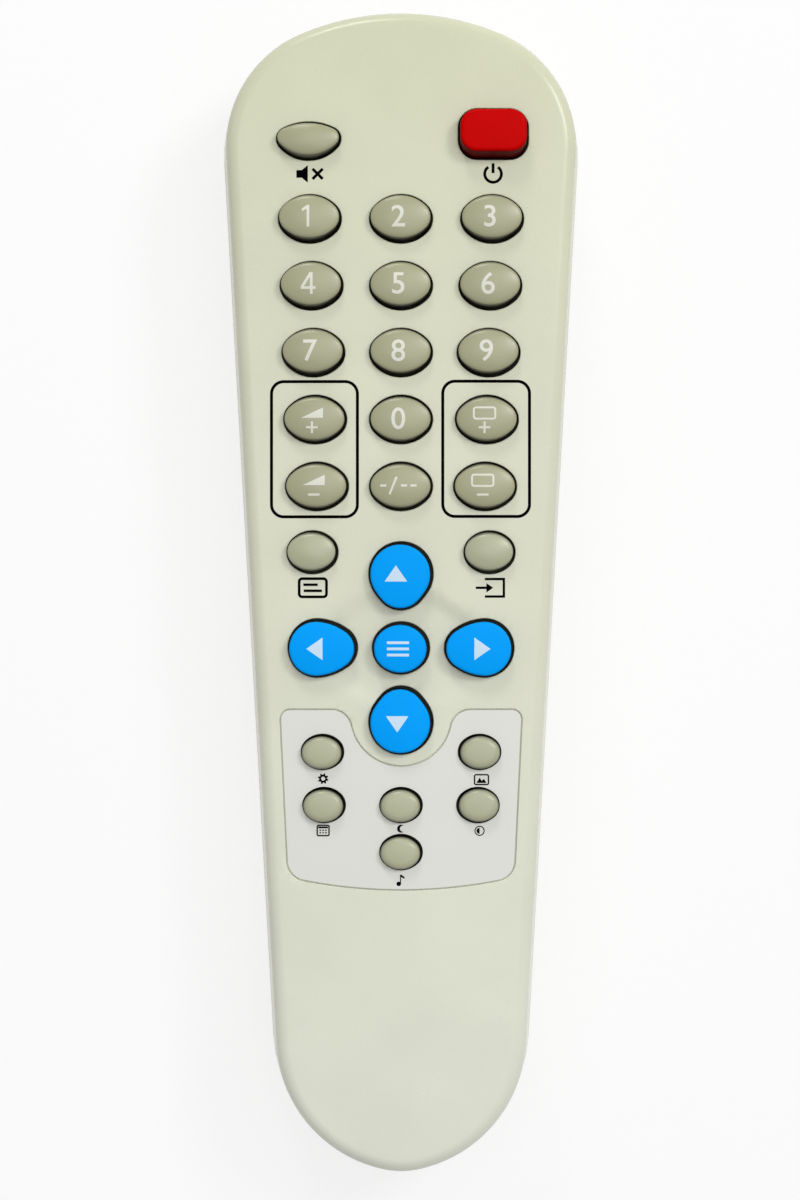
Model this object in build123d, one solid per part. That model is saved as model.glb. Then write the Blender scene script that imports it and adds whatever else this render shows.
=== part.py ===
from build123d import *
from math import atan2, cos, degrees, hypot, pi, radians, sin, sqrt, tan
import os

# A television remote control lying on its back, keys up, in millimetres.
# +X is to the right, +Y towards the infrared end, +Z up out of the keys.
# Places on the face and the board are (x, distance from the infrared end).

# Case outline seen from above
LENGTH = 182.5
MID_HALF_WIDTH = 24.35
SIDE_TAPER = 3.22
TOP_END_RADIUS = 41.0
TOP_CORNER_RADIUS = 20.0
NOSE_RADIUS = 14.0
SHOULDER_RADIUS = 22.0

# Case heights and walls
PART_Z = 12.5
FACE_Z = 22.5
WALL = 2.0
FACE_DRAFT = 0.8
BACK_DRAFT = 2.2
FACE_EDGE_RADIUS = 2.2
BACK_EDGE_RADIUS = 5.0
FACE_EDGE_STEPS = 3
BACK_EDGE_STEPS = 4
HOLLOW_EDGE_STEPS = 2

# Round edges are many flat sides: degrees from one side to the next, and the sides of a round post
CASE_TURN = 7
KEY_TURN = 18
ROUND_SIDES = 20

# Tongue of the upper case in the rebate of the lower one
TONGUE_DEPTH = 1.2
TONGUE_INSET = 1.1
TONGUE_GAP = 0.1
SNAP_LENGTH = 6.0
SNAP_REACH = 0.4
SNAPS_FROM_END = [39.25, 103.25]

# Square pegs that place the mat and the board, and pillars that press the board up
PEG_PLACES = [(0.0, 19.25), (-7.1, 80.05), (7.1, 80.05), (-9.0, 132.45), (9.0, 132.45)]
PEG_SIZE = 2.4
PEG_GAP = 0.3
PEG_BELOW_BOARD = 0.6
PILLAR_SIZE = 3.0
PILLAR_PLACES = [(-18.0, 27.25), (18.0, 27.25), (-16.0, 95.25), (16.0, 95.25)]

# Key stack: board, mat, travel and clearances
BOARD_Z = 15.5
BOARD_THICKNESS = 1.6
BOARD_INSET = 3.6
BOARD_FROM_END = 13.25
BOARD_BELOW_PANEL = 0.5
MAT_THICKNESS = 1.0
MAT_INSET = 4.0
KEY_TRAVEL = 1.1
KEY_GAP = 0.3
KEY_EDGE = 0.4
PLUNGER_WIDTH = 3.6
PLUNGER_DEPTH = 2.6
PLUNGER_GAP = 0.3
COLUMN_GAP = 0.2
PAD_GAP = 0.05
PAD_THICKNESS = 0.05
PAD_MARGIN = 0.3

# Number block: five rows of three, the columns closing up towards the nose
FIRST_ROW_FROM_END = 33.15
ROW_PITCH = 10.39
FIRST_COLUMN_X = 14.16
COLUMN_STEP = 0.276
OVAL_LONG = 9.9
OVAL_SHORT = 7.45
OVAL_END_RADIUS = 3.0
OVAL_RISE = 2.0

# Mute and power keys
MUTE_FROM_END = 21.15
TOP_ROW_X = 14.35
MUTE_LENGTH = 10.14
MUTE_WIDTH = 6.1
MUTE_CORNER = 1.95
MUTE_TOP_RADIUS = 8.85
POWER_FROM_END = 20.05
POWER_LENGTH = 11.0
POWER_WIDTH = 8.0
POWER_CORNER = 2.4
POWER_RISE = 3.1
POWER_EDGE = 0.7

# Display and source keys
SIDE_KEY_FROM_END = 85.05
SIDE_KEY_X = 13.75
SIDE_KEY_LONG = 8.05
SIDE_KEY_SHORT = 6.8
SIDE_KEY_END_RADIUS = 3.0

# Arrow keys round the menu key
MENU_FROM_END = 99.9
MENU_LONG = 9.0
MENU_SHORT = 8.25
MENU_END_RADIUS = 3.85
ARROW_REACH_Y = 11.2
ARROW_REACH_X = 12.15
UP_WIDE_RADIUS = 5.0
UP_NARROW_RADIUS = 3.5
UP_LENGTH = 10.3
SIDE_WIDE_RADIUS = 4.35
SIDE_NARROW_RADIUS = 2.8
SIDE_LENGTH = 10.9
EGG_FLANK_RADIUS = 11.0
ARROW_RISE = 2.0
DISH_LONG = 17.0
DISH_SHORT = 10.9
DISH_SLOPE = 2.2
DISH_DEPTH = 0.5

# Panel label with its six small keys
PANEL_FROM_END = 109.35
PANEL_LENGTH = 28.25
PANEL_HALF_WIDTH = 18.95
PANEL_TAPER = 2.72
PANEL_END_RADIUS = 80.0
PANEL_TOP_CORNER = 1.65
PANEL_END_CORNER = 3.3
NOTCH_RADIUS = 7.75
NOTCH_DEPTH = 8.8
NOTCH_FILLET = 3.3
LABEL_DEPTH = 0.5
LABEL_GAP = 0.15
LABEL_LOW = 0.05
SMALL_LONG = 6.8
SMALL_SHORT = 5.7
SMALL_END_RADIUS = 2.5
SMALL_RISE = 1.4
SMALL_ROWS_DOWN = [6.7, 14.95, 22.25]
SMALL_OUTER_X = [12.2, 11.95]

# One screw pulls the case halves together: in the bay's roof, midway between the board and the nose
CASE_SCREW_RADIUS = 1.1
CASE_SCREW_LENGTH = 6.0
CASE_HEAD_RADIUS = 2.0
CASE_HEAD_HEIGHT = 1.4
CASE_BOSS_RADIUS = 2.6
SCREW_GAP = 0.1

# Infrared lamp in the end wall, on the parting plane
LAMP_RADIUS = 2.5
LAMP_LENGTH = 8.6
LAMP_RIM_RADIUS = 2.9
LAMP_RIM_LENGTH = 1.0
LAMP_NOSE_RADIUS = 1.3
LAMP_NOSE_LENGTH = 1.4
LAMP_GAP = 0.1
LEAD_SIZE = 0.5
LEAD_PITCH = 2.54

# Two AAA cells side by side
CELL_DIAMETER = 10.5
CELL_LENGTH = 44.5
CELL_PITCH = 11.5
NUB_DIAMETER = 3.8
NUB_LENGTH = 0.8
CELL_GAP = 0.3

# Battery bay in the lower case and its sliding cover
BAY_FROM_NOSE = 11.0
BAY_SIDE_GAP = 0.4
BAY_WALL = 1.2
CONTACT_THICKNESS = 0.3
CONTACT_WIDTH = 8.6
CONTACT_GAP = 0.05
TAB_WIDTH = 3.0
COVER_HALF_WIDTH = 12.4
COVER_THICKNESS = 1.6
COVER_RECESS = 0.2
COVER_BEYOND_BAY = 1.6
COVER_GAP = 0.25
COVER_NOSE_DEPTH = 8.2
COVER_NOSE_Z = 6.0
RAIL_WIDTH = 1.0
RAIL_THICKNESS = 1.0
RAIL_GAP = 0.3
RAIL_SHORTFALL = 20.0
WEB_THICKNESS = 0.7
GRIP_COUNT = 6
GRIP_PITCH = 1.8
GRIP_WIDTH = 0.9
GRIP_DEPTH = 0.5
GRIP_LENGTH = 13.0
GRIP_FROM_END = 6.0

# Contact springs, wound from square wire
SPRING_TURNS = 3
SPRING_PITCH = 1.3
SPRING_RADIUS = 2.6
SPRING_WIRE = 0.6

# Parts on the underside of the board
CHIP_LENGTH = 12.8
CHIP_WIDTH = 7.5
CHIP_HEIGHT = 2.3
CHIP_FROM_END = 57.25
CHIP_LEG_COUNT = 10
CHIP_LEG_PITCH = 1.27
CHIP_LEG_WIDTH = 0.4
CHIP_LEG_REACH = 1.4
CHIP_LEG_THICKNESS = 0.2
RESONATOR_SIZE = (7.0, 2.6, 5.0)
RESONATOR_PLACE = (9.5, 68.5)
CAPACITOR_RADIUS = 2.5
CAPACITOR_HEIGHT = 7.0
CAPACITOR_PLACE = (-11.0, 42.5)
TRANSISTOR_RADIUS = 2.3
TRANSISTOR_FLAT = 1.1
TRANSISTOR_HEIGHT = 4.6
TRANSISTOR_PLACE = (6.0, 28.5)
RESISTOR_SIZE = (3.2, 1.6, 0.6)
RESISTOR_PLACES = [(-6.0, 33.25), (-6.0, 30.25), (11.0, 43.25), (12.0, 51.25)]

# Sizes that follow from those above
END_Y = LENGTH / 2
TOP_END_Y = END_Y - TOP_END_RADIUS
NOSE_Y = -END_Y + NOSE_RADIUS
BOARD_TOP_Z = BOARD_Z + BOARD_THICKNESS
MAT_TOP_Z = BOARD_TOP_Z + MAT_THICKNESS
PLUNGER_Z = BOARD_TOP_Z + PAD_THICKNESS + PAD_GAP + KEY_TRAVEL
COLUMN_Z = MAT_TOP_Z + COLUMN_GAP + KEY_TRAVEL
MENU_Y = END_Y - MENU_FROM_END
PANEL_TOP_Y = END_Y - PANEL_FROM_END
PANEL_END_Y = PANEL_TOP_Y - PANEL_LENGTH
CHIP_Y = END_Y - CHIP_FROM_END
BOARD_END_Y = END_Y - BOARD_FROM_END
BOARD_LOW_Y = PANEL_END_Y - BOARD_BELOW_PANEL
COVER_TOP_FACE = COVER_RECESS + COVER_THICKNESS
CELL_Z = COVER_TOP_FACE + CELL_GAP + CELL_DIAMETER / 2
BAY_CEILING = CELL_Z + CELL_DIAMETER / 2 + CELL_GAP
SPRING_LENGTH = SPRING_TURNS * SPRING_PITCH + SPRING_WIRE
BAY_LENGTH = CELL_LENGTH + SPRING_LENGTH + 2 * CONTACT_THICKNESS + 2 * CONTACT_GAP
BAY_LOW_Y = -END_Y + BAY_FROM_NOSE
BAY_HIGH_Y = BAY_LOW_Y + BAY_LENGTH
BAY_HALF_WIDTH = (CELL_PITCH + CELL_DIAMETER) / 2 + BAY_SIDE_GAP
COVER_HIGH_Y = BAY_HIGH_Y + COVER_BEYOND_BAY
RAIL_Z = WALL + RAIL_GAP
SHELF_Z = RAIL_Z + RAIL_THICKNESS + RAIL_GAP
CASE_SCREW_Y = (BOARD_LOW_Y + BAY_LOW_Y) / 2
BAY_ROOF = BAY_CEILING + BAY_WALL


def span(x_low, x_high, y_low, y_high, z_low, z_high):
    """Rectangular block between the given coordinates."""
    block = Box(x_high - x_low, y_high - y_low, z_high - z_low, align=(Align.MIN, Align.MIN, Align.MIN))
    return Pos(x_low, y_low, z_low) * block


def centred_block(width, depth, x, y, z_low, z_high):
    """Upright rectangular block round a point of the plan."""
    return span(x - width / 2, x + width / 2, y - depth / 2, y + depth / 2, z_low, z_high)


def post(radius, x, y, z_low, z_high):
    """Upright post or hole, round but for its many flat sides."""
    return Pos(x, y, z_low) * extrude(RegularPolygon(radius, ROUND_SIDES), z_high - z_low)


def along(radius, x, z, y_low, y_high):
    """Round bar or hole along Y, with the same flat sides as a post."""
    return Pos(x, y_high, z) * Rot(90, 0, 0) * extrude(RegularPolygon(radius, ROUND_SIDES), y_high - y_low)


def sided(plan, turn):
    """The same plan with each arc as an even number of straight sides, about turn degrees apart."""
    points = []
    for edge in plan.wire().order_edges():
        sides = 1
        if edge.geom_type == GeomType.CIRCLE:
            sides = 2 * max(1, round(degrees(edge.length / edge.radius) / turn / 2))
        points += [edge @ (side / sides) for side in range(sides)]
    return make_face(Polyline(points, close=True))


def posts_at(places, size, z_low, z_high):
    """Square posts or holes, all alike, at places on the face."""
    return [centred_block(size, size, x, END_Y - distance, z_low, z_high) for x, distance in places]


def side_arc_centre(end_y, end_radius, radius):
    """Centre of the arc that runs from the straight side into the end arc, tangent to both."""
    slope = tan(radians(SIDE_TAPER))
    lean = sqrt(1 + slope**2)
    reach = MID_HALF_WIDTH - radius * lean
    square = 1 + slope**2
    linear = 2 * slope * reach - 2 * end_y
    rest = reach**2 + end_y**2 - (end_radius - radius) ** 2
    y = (-linear + sqrt(linear**2 - 4 * square * rest)) / (2 * square)
    return reach + slope * y, y


def end_arcs(end_y, end_radius, radius, inset):
    """Points of the right-hand side arc: on the side line, halfway, and on the end arc."""
    x, y = side_arc_centre(end_y, end_radius, radius)
    slope = tan(radians(SIDE_TAPER))
    lean = sqrt(1 + slope**2)
    sign = 1 if end_radius > radius else -1
    far = hypot(x, y - end_y)
    to_line = Vector(1 / lean, -slope / lean)
    to_end = Vector(sign * x / far, sign * (y - end_y) / far)
    middle = (to_line + to_end).normalized()
    centre = Vector(x, y)
    return [centre + direction * (radius - inset) for direction in (to_line, middle, to_end)]


def mirrored(point):
    """The same point on the left-hand side."""
    return Vector(-point.X, point.Y)


def outline(inset=0.0):
    """Plan outline of the case moved inwards by inset: an arc at each end, side arcs and straight sides."""
    top_line, top_mid, top_end = end_arcs(TOP_END_Y, TOP_END_RADIUS, TOP_CORNER_RADIUS, inset)
    low_line, low_mid, low_end = end_arcs(NOSE_Y, NOSE_RADIUS, SHOULDER_RADIUS, inset)
    apex = Vector(0, END_Y - inset)
    nose = Vector(0, -END_Y + inset)
    return sided(make_face([
        ThreePointArc(mirrored(top_end), apex, top_end),
        ThreePointArc(top_end, top_mid, top_line),
        Line(top_line, low_line),
        ThreePointArc(low_line, low_mid, low_end),
        ThreePointArc(low_end, nose, mirrored(low_end)),
        ThreePointArc(mirrored(low_end), mirrored(low_mid), mirrored(low_line)),
        Line(mirrored(low_line), mirrored(top_line)),
        ThreePointArc(mirrored(top_line), mirrored(top_mid), mirrored(top_end)),
    ]), CASE_TURN)


def stack(levels):
    """Filled form through the case outline at each (height, inset), with straight walls between them."""
    return loft([Pos(0, 0, z) * outline(inset) for z, inset in levels], ruled=True)


def rim(z, way, inset, radius, steps):
    """Levels of a rounded rim that ends at height z, towards +Z for way 1 and towards -Z for way -1."""
    levels = []
    for step in range(steps + 1):
        turn = radians(90 * step / steps)
        levels.append((z - way * radius * (1 - sin(turn)), inset + radius * (1 - cos(turn))))
    return levels


def upper_form():
    """Outside of the upper half of the case, filled."""
    return stack([(PART_Z, 0.0)] + rim(FACE_Z, 1, FACE_DRAFT, FACE_EDGE_RADIUS, FACE_EDGE_STEPS))


def lower_form(offset):
    """Lower half of the case as a filled form, shrunk by offset."""
    steps = HOLLOW_EDGE_STEPS if offset else BACK_EDGE_STEPS
    return stack([(PART_Z, offset)] + rim(offset, -1, offset + BACK_DRAFT, BACK_EDGE_RADIUS - offset, steps))


def rounded(long, short, corner):
    """Plan of a rectangular key hole with round corners."""
    return lambda grow: sided(RectangleRounded(long + 2 * grow, short + 2 * grow, corner + grow), KEY_TURN)


def egg(wide_radius, narrow_radius, length, turn):
    """Plan of an egg: a wide and a narrow end arc joined by flank arcs that touch both."""

    def plan(grow):
        apart = length - wide_radius - narrow_radius
        wide_y = length / 2 - wide_radius
        narrow_y = wide_y - apart
        to_wide = EGG_FLANK_RADIUS - wide_radius
        to_narrow = EGG_FLANK_RADIUS - narrow_radius
        along = (to_narrow**2 - to_wide**2 + apart**2) / (2 * apart)
        flank_y = narrow_y + along
        flank_x = -sqrt(to_narrow**2 - along**2)
        flank = Vector(flank_x, flank_y)
        up = (Vector(0, wide_y) - flank).normalized()
        down = (Vector(0, narrow_y) - flank).normalized()
        out = (up + down).normalized()
        radius = EGG_FLANK_RADIUS + grow
        high, middle, low = (flank + way * radius for way in (up, out, down))
        top = Vector(0, wide_y + wide_radius + grow)
        bottom = Vector(0, narrow_y - narrow_radius - grow)
        face = make_face([
            ThreePointArc(mirrored(high), top, high),
            ThreePointArc(high, middle, low),
            ThreePointArc(low, bottom, mirrored(low)),
            ThreePointArc(mirrored(low), mirrored(middle), mirrored(high)),
        ])
        return Rot(0, 0, turn) * sided(face, KEY_TURN)

    return plan


def bow(length, width, corner, top_radius):
    """Plan of an upper and a lower arc between two corner arcs; the lower radius follows from the rest."""

    def plan(grow):
        corner_x = length / 2 - corner
        top_y = width / 2 - top_radius
        corner_y = top_y + sqrt((top_radius - corner) ** 2 - corner_x**2)
        low_radius = touching_radius(corner_x, corner_y + width / 2, corner)
        low_y = low_radius - width / 2
        centre = Vector(corner_x, corner_y)
        up = (centre - Vector(0, top_y)).normalized()
        down = (centre - Vector(0, low_y)).normalized()
        out = (up + down).normalized()
        high, middle, low = (centre + way * (corner + grow) for way in (up, out, down))
        return sided(make_face([
            ThreePointArc(mirrored(high), (0, width / 2 + grow), high),
            ThreePointArc(high, middle, low),
            ThreePointArc(low, (0, -width / 2 - grow), mirrored(low)),
            ThreePointArc(mirrored(low), mirrored(middle), mirrored(high)),
        ]), KEY_TURN)

    return plan


def touching_radius(across, along, corner):
    """Radius of the arc whose middle is along away from a corner arc's centre and that runs into it."""
    return (across**2 + along**2 - corner**2) / (2 * (along - corner))


def oval(long, short, end_radius):
    """Plan of an oval key hole of four arcs; grow makes the key that fits in it."""
    return bow(long, short, end_radius, touching_radius(long / 2 - end_radius, short / 2, end_radius))


def key_list():
    """Every key as (node name, plan of its hole, x, y, height over the face)."""
    mute = bow(MUTE_LENGTH, MUTE_WIDTH, MUTE_CORNER, MUTE_TOP_RADIUS)
    power = rounded(POWER_LENGTH, POWER_WIDTH, POWER_CORNER)
    keys = [
        ("key_mute", mute, -TOP_ROW_X, END_Y - MUTE_FROM_END, OVAL_RISE),
        ("key_power", power, TOP_ROW_X, END_Y - POWER_FROM_END, POWER_RISE),
    ]
    rows = [
        ("1", "2", "3"),
        ("4", "5", "6"),
        ("7", "8", "9"),
        ("volume_up", "0", "channel_up"),
        ("volume_down", "digits", "channel_down"),
    ]
    number = oval(OVAL_LONG, OVAL_SHORT, OVAL_END_RADIUS)
    for row, names in enumerate(rows):
        column_x = FIRST_COLUMN_X - row * COLUMN_STEP
        y = END_Y - FIRST_ROW_FROM_END - row * ROW_PITCH
        for name, x in zip(names, (-column_x, 0.0, column_x)):
            keys.append(("key_" + name, number, x, y, OVAL_RISE))
    side = oval(SIDE_KEY_LONG, SIDE_KEY_SHORT, SIDE_KEY_END_RADIUS)
    for name, x in (("key_display", -SIDE_KEY_X), ("key_tv_video", SIDE_KEY_X)):
        keys.append((name, side, x, END_Y - SIDE_KEY_FROM_END, OVAL_RISE))
    up_egg = (UP_WIDE_RADIUS, UP_NARROW_RADIUS, UP_LENGTH)
    side_egg = (SIDE_WIDE_RADIUS, SIDE_NARROW_RADIUS, SIDE_LENGTH)
    arrows = [
        ("key_up", egg(*up_egg, 0), 0.0, ARROW_REACH_Y),
        ("key_down", egg(*up_egg, 180), 0.0, -ARROW_REACH_Y),
        ("key_left", egg(*side_egg, 90), -ARROW_REACH_X, 0.0),
        ("key_right", egg(*side_egg, -90), ARROW_REACH_X, 0.0),
        ("key_menu", oval(MENU_LONG, MENU_SHORT, MENU_END_RADIUS), 0.0, 0.0),
    ]
    for name, plan, x, y in arrows:
        keys.append((name, plan, x, MENU_Y + y, ARROW_RISE))
    small = oval(SMALL_LONG, SMALL_SHORT, SMALL_END_RADIUS)
    for name, x, y in small_keys():
        keys.append((name, small, x, y, SMALL_RISE))
    return keys


def small_keys():
    """The six keys that stand through the panel label, as (node name, x, y)."""
    high, middle, low = (PANEL_TOP_Y - down for down in SMALL_ROWS_DOWN)
    outer, inner = SMALL_OUTER_X
    return [
        ("key_sys", -outer, high),
        ("key_pic", outer, high),
        ("key_calendar", -inner, middle),
        ("key_sleep", 0.0, middle),
        ("key_picture_mode", inner, middle),
        ("key_sound_mode", 0.0, low),
    ]


def make_key(name, plan, x, y, rise):
    """One key: a column with a bevelled top above the face, and the plunger that presses on its pad."""
    edge = POWER_EDGE if name == "key_power" else KEY_EDGE
    top = FACE_Z + rise
    column = extrude(plan(-KEY_GAP), top - edge - COLUMN_Z)
    column += extrude(column.faces().sort_by(Axis.Z)[-1], edge, taper=45)
    plunger = centred_block(PLUNGER_WIDTH, PLUNGER_DEPTH, x, y, PLUNGER_Z, COLUMN_Z)
    return [Pos(x, y, COLUMN_Z) * column, plunger]


def key_hole(plan, x, y):
    """Prism that cuts one key hole through the face wall."""
    low = FACE_Z - 2 * WALL
    return Pos(x, y, low) * extrude(plan(0.0), FACE_Z + WALL - low)


def dpad_dish():
    """Shallow diamond dish between the arrow keys, with sloping sides."""
    grade = DISH_SLOPE / DISH_DEPTH
    sections = []
    for height in (0.0, 2 * DISH_DEPTH):
        long = DISH_LONG - DISH_SLOPE + grade * height
        short = DISH_SHORT - DISH_SLOPE + grade * height
        diamond = make_face(Polyline((long, 0), (0, short), (-long, 0), (0, -short), close=True))
        sections.append(Pos(0, MENU_Y, FACE_Z - DISH_DEPTH + height) * diamond)
    return loft(sections, ruled=True)


def panel_plan(inset):
    """Plan of the panel label: tapered sides, a bowed lower end and a round notch under the down key."""
    slope = tan(radians(PANEL_TAPER))
    top_x = PANEL_HALF_WIDTH - inset
    top_y = PANEL_TOP_Y - inset
    end_y = PANEL_END_Y + inset
    low_x = top_x - slope * (top_y - end_y)
    corner_y = end_y + PANEL_END_RADIUS - sqrt(PANEL_END_RADIUS**2 - low_x**2)
    plate = make_face([
        Line((-top_x, top_y), (top_x, top_y)),
        Line((top_x, top_y), (low_x, corner_y)),
        ThreePointArc((low_x, corner_y), (0, end_y), (-low_x, corner_y)),
        Line((-low_x, corner_y), (-top_x, top_y)),
    ])
    notch = Pos(0, PANEL_TOP_Y - NOTCH_DEPTH + NOTCH_RADIUS) * Circle(NOTCH_RADIUS + inset)
    plate = plate - notch
    low_corners = plate.vertices().filter_by(lambda v: v.Y < PANEL_END_Y / 2 + PANEL_TOP_Y / 2)
    plate = fillet(low_corners, PANEL_END_CORNER - inset)
    notch_corners = plate.vertices().filter_by(lambda v: v.Y > top_y - 0.01 and abs(v.X) < top_x / 2)
    plate = fillet(notch_corners, NOTCH_FILLET - inset)
    top_corners = plate.vertices().filter_by(lambda v: abs(v.X) > top_x - 0.01)
    return sided(fillet(top_corners, PANEL_TOP_CORNER - inset), CASE_TURN)


def snap_places():
    """Where the case snaps together: points on the tongue's straight sides, with the turn of each side."""
    slope = tan(radians(SIDE_TAPER))
    places = []
    for distance in SNAPS_FROM_END:
        y = END_Y - distance
        x = MID_HALF_WIDTH + slope * y - TONGUE_INSET * sqrt(1 + slope**2)
        places += [(x, y, -SIDE_TAPER), (-x, y, SIDE_TAPER)]
    return places


def snap_ridge(x, y, turn, grow):
    """Small ridge across the tongue's outer face, or the pocket for it."""
    ridge = Box(2 * (SNAP_REACH + grow), SNAP_LENGTH + 2 * grow, TONGUE_DEPTH / 2 + grow)
    return Pos(x, y, PART_Z - TONGUE_DEPTH / 2) * Rot(0, 0, turn) * ridge


def make_top_shell(keys):
    """Upper case: rounded shell with a tongue, key holes, dish, label recess, pegs and screw boss."""
    shell = upper_form() - stack([(PART_Z, WALL), (FACE_Z - WALL, WALL + FACE_DRAFT)])
    ring = outline(TONGUE_INSET) - outline(WALL)
    shell += Pos(0, 0, PART_Z - TONGUE_DEPTH) * extrude(ring, TONGUE_DEPTH + TONGUE_INSET)
    inside_wall = FACE_Z - WALL / 2
    shell += posts_at(PEG_PLACES, PEG_SIZE, BOARD_Z - PEG_BELOW_BOARD, inside_wall)
    shell += post(CASE_BOSS_RADIUS, 0, CASE_SCREW_Y, BAY_ROOF, inside_wall)
    shell += [snap_ridge(x, y, turn, 0.0) for x, y, turn in snap_places()]
    cuts = [key_hole(plan, x, y) for _, plan, x, y, _ in keys]
    cuts.append(dpad_dish())
    cuts.append(Pos(0, 0, FACE_Z - LABEL_DEPTH) * extrude(panel_plan(0.0), WALL))
    bore_top = BAY_CEILING + CASE_SCREW_LENGTH + SCREW_GAP
    cuts.append(post(CASE_SCREW_RADIUS + SCREW_GAP, 0, CASE_SCREW_Y, 0, bore_top))
    cuts.append(lamp_hole())
    return shell - cuts


def lamp_hole():
    """Round hole for the lamp through the end wall, half in each case shell."""
    return along(LAMP_RADIUS + LAMP_GAP, 0, PART_Z, END_Y - 2 * WALL, END_Y + WALL)


def make_bottom_shell():
    """Lower case: drafted tray with a rebated rim, battery bay, cover rails and board pillars."""
    shell = lower_form(0.0) - lower_form(WALL)
    rebate = PART_Z - TONGUE_DEPTH - TONGUE_GAP
    shell -= Pos(0, 0, rebate) * extrude(outline(TONGUE_INSET - TONGUE_GAP), PART_Z)
    wall_x = BAY_HALF_WIDTH + BAY_WALL
    low_y = BAY_LOW_Y - BAY_WALL
    high_y = BAY_HIGH_Y + BAY_WALL
    shell += span(-wall_x, wall_x, low_y, high_y, SHELF_Z, BAY_ROOF)
    reach = 2 * MID_HALF_WIDTH
    shelf = span(-reach, reach, low_y, high_y, SHELF_Z, SHELF_Z + BAY_WALL)
    shell += shelf & lower_form(WALL / 2)
    ends_z = COVER_TOP_FACE + RAIL_GAP
    shell += span(-BAY_HALF_WIDTH, BAY_HALF_WIDTH, low_y, high_y, ends_z, SHELF_Z)
    shell += posts_at(PILLAR_PLACES, PILLAR_SIZE, WALL / 2, BOARD_Z)
    slot_x = COVER_HALF_WIDTH + COVER_GAP
    rail_x = COVER_HALF_WIDTH + RAIL_WIDTH + COVER_GAP
    nose_y = -END_Y + COVER_NOSE_DEPTH + COVER_GAP
    beyond = -END_Y - WALL
    cover_end = COVER_HIGH_Y + COVER_GAP
    cuts = [
        span(-BAY_HALF_WIDTH, BAY_HALF_WIDTH, BAY_LOW_Y, BAY_HIGH_Y, -WALL, BAY_CEILING),
        span(-slot_x, slot_x, beyond, cover_end, -WALL, ends_z),
        span(-slot_x, slot_x, beyond, nose_y, -WALL, COVER_NOSE_Z + COVER_GAP),
        span(-rail_x, -BAY_HALF_WIDTH, beyond, cover_end, WALL, SHELF_Z),
        span(BAY_HALF_WIDTH, rail_x, beyond, cover_end, WALL, SHELF_Z),
        post(CASE_SCREW_RADIUS + 2 * SCREW_GAP, 0, CASE_SCREW_Y, PART_Z - WALL, PART_Z + WALL),
        lamp_hole(),
    ]
    for x in (-CELL_PITCH / 2, CELL_PITCH / 2):
        cuts.append(centred_block(TAB_WIDTH + CONTACT_THICKNESS, 4 * CONTACT_THICKNESS, x, BAY_HIGH_Y,
                                  BAY_CEILING - BAY_WALL, BAY_ROOF + BAY_WALL))
    cuts += [snap_ridge(x, y, turn, TONGUE_GAP) for x, y, turn in snap_places()]
    return shell - cuts


def make_battery_cover():
    """Cover that closes the bay and the lower part of the nose, with side rails and grip grooves."""
    half = COVER_HALF_WIDTH
    beyond = -END_Y - WALL
    outside = lower_form(0.0)
    plate = outside & span(-half, half, beyond, COVER_HIGH_Y, COVER_RECESS, COVER_TOP_FACE)
    nose_y = -END_Y + COVER_NOSE_DEPTH
    nose = outside - lower_form(COVER_THICKNESS)
    cover = plate + (nose & span(-half, half, beyond, nose_y, COVER_RECESS, COVER_NOSE_Z))
    rail_low = -END_Y + RAIL_SHORTFALL
    rail_high = COVER_HIGH_Y - RAIL_WIDTH
    rail_top = RAIL_Z + RAIL_THICKNESS
    for side in (-1, 1):
        low_x, high_x = sorted((side * (half - WEB_THICKNESS), side * half))
        cover += span(low_x, high_x, rail_low, rail_high, COVER_TOP_FACE - COVER_THICKNESS / 2, rail_top)
        low_x, high_x = sorted((side * (half - WEB_THICKNESS), side * (half + RAIL_WIDTH)))
        cover += span(low_x, high_x, rail_low, rail_high, RAIL_Z, rail_top)
    grips = []
    for row in range(GRIP_COUNT):
        y = COVER_HIGH_Y - GRIP_FROM_END - row * GRIP_PITCH
        grips.append(centred_block(GRIP_LENGTH, GRIP_WIDTH, 0, y, -WALL, COVER_RECESS + GRIP_DEPTH))
    return cover - grips


def between(low_y, high_y):
    """Slab that keeps only the stretch between two Y values."""
    return span(-LENGTH, LENGTH, low_y, high_y, -LENGTH, LENGTH)


def peg_holes():
    """Square holes for the pegs of the upper case."""
    return posts_at(PEG_PLACES, PEG_SIZE + 2 * PEG_GAP, 0, FACE_Z)


def make_board():
    """Circuit board following the case, holed for the pegs."""
    blank = Pos(0, 0, BOARD_Z) * extrude(outline(BOARD_INSET), BOARD_THICKNESS)
    return (blank & between(BOARD_LOW_Y, BOARD_END_Y)) - peg_holes()


def make_mat(keys):
    """Rubber mat on the board, open for each key's plunger and for the pegs."""
    blank = Pos(0, 0, BOARD_TOP_Z) * extrude(outline(MAT_INSET), MAT_THICKNESS)
    margin = MAT_INSET - BOARD_INSET
    width = PLUNGER_WIDTH + 2 * PLUNGER_GAP
    depth = PLUNGER_DEPTH + 2 * PLUNGER_GAP
    openings = [centred_block(width, depth, x, y, 0, FACE_Z) for _, _, x, y, _ in keys]
    return (blank & between(BOARD_LOW_Y + margin, BOARD_END_Y - margin)) - openings - peg_holes()


def make_pads(keys):
    """Bare contact pad on the board under each plunger."""
    width = PLUNGER_WIDTH - 2 * PAD_MARGIN
    depth = PLUNGER_DEPTH - 2 * PAD_MARGIN
    top = BOARD_TOP_Z + PAD_THICKNESS
    return [centred_block(width, depth, x, y, BOARD_TOP_Z, top) for _, _, x, y, _ in keys]


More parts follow.
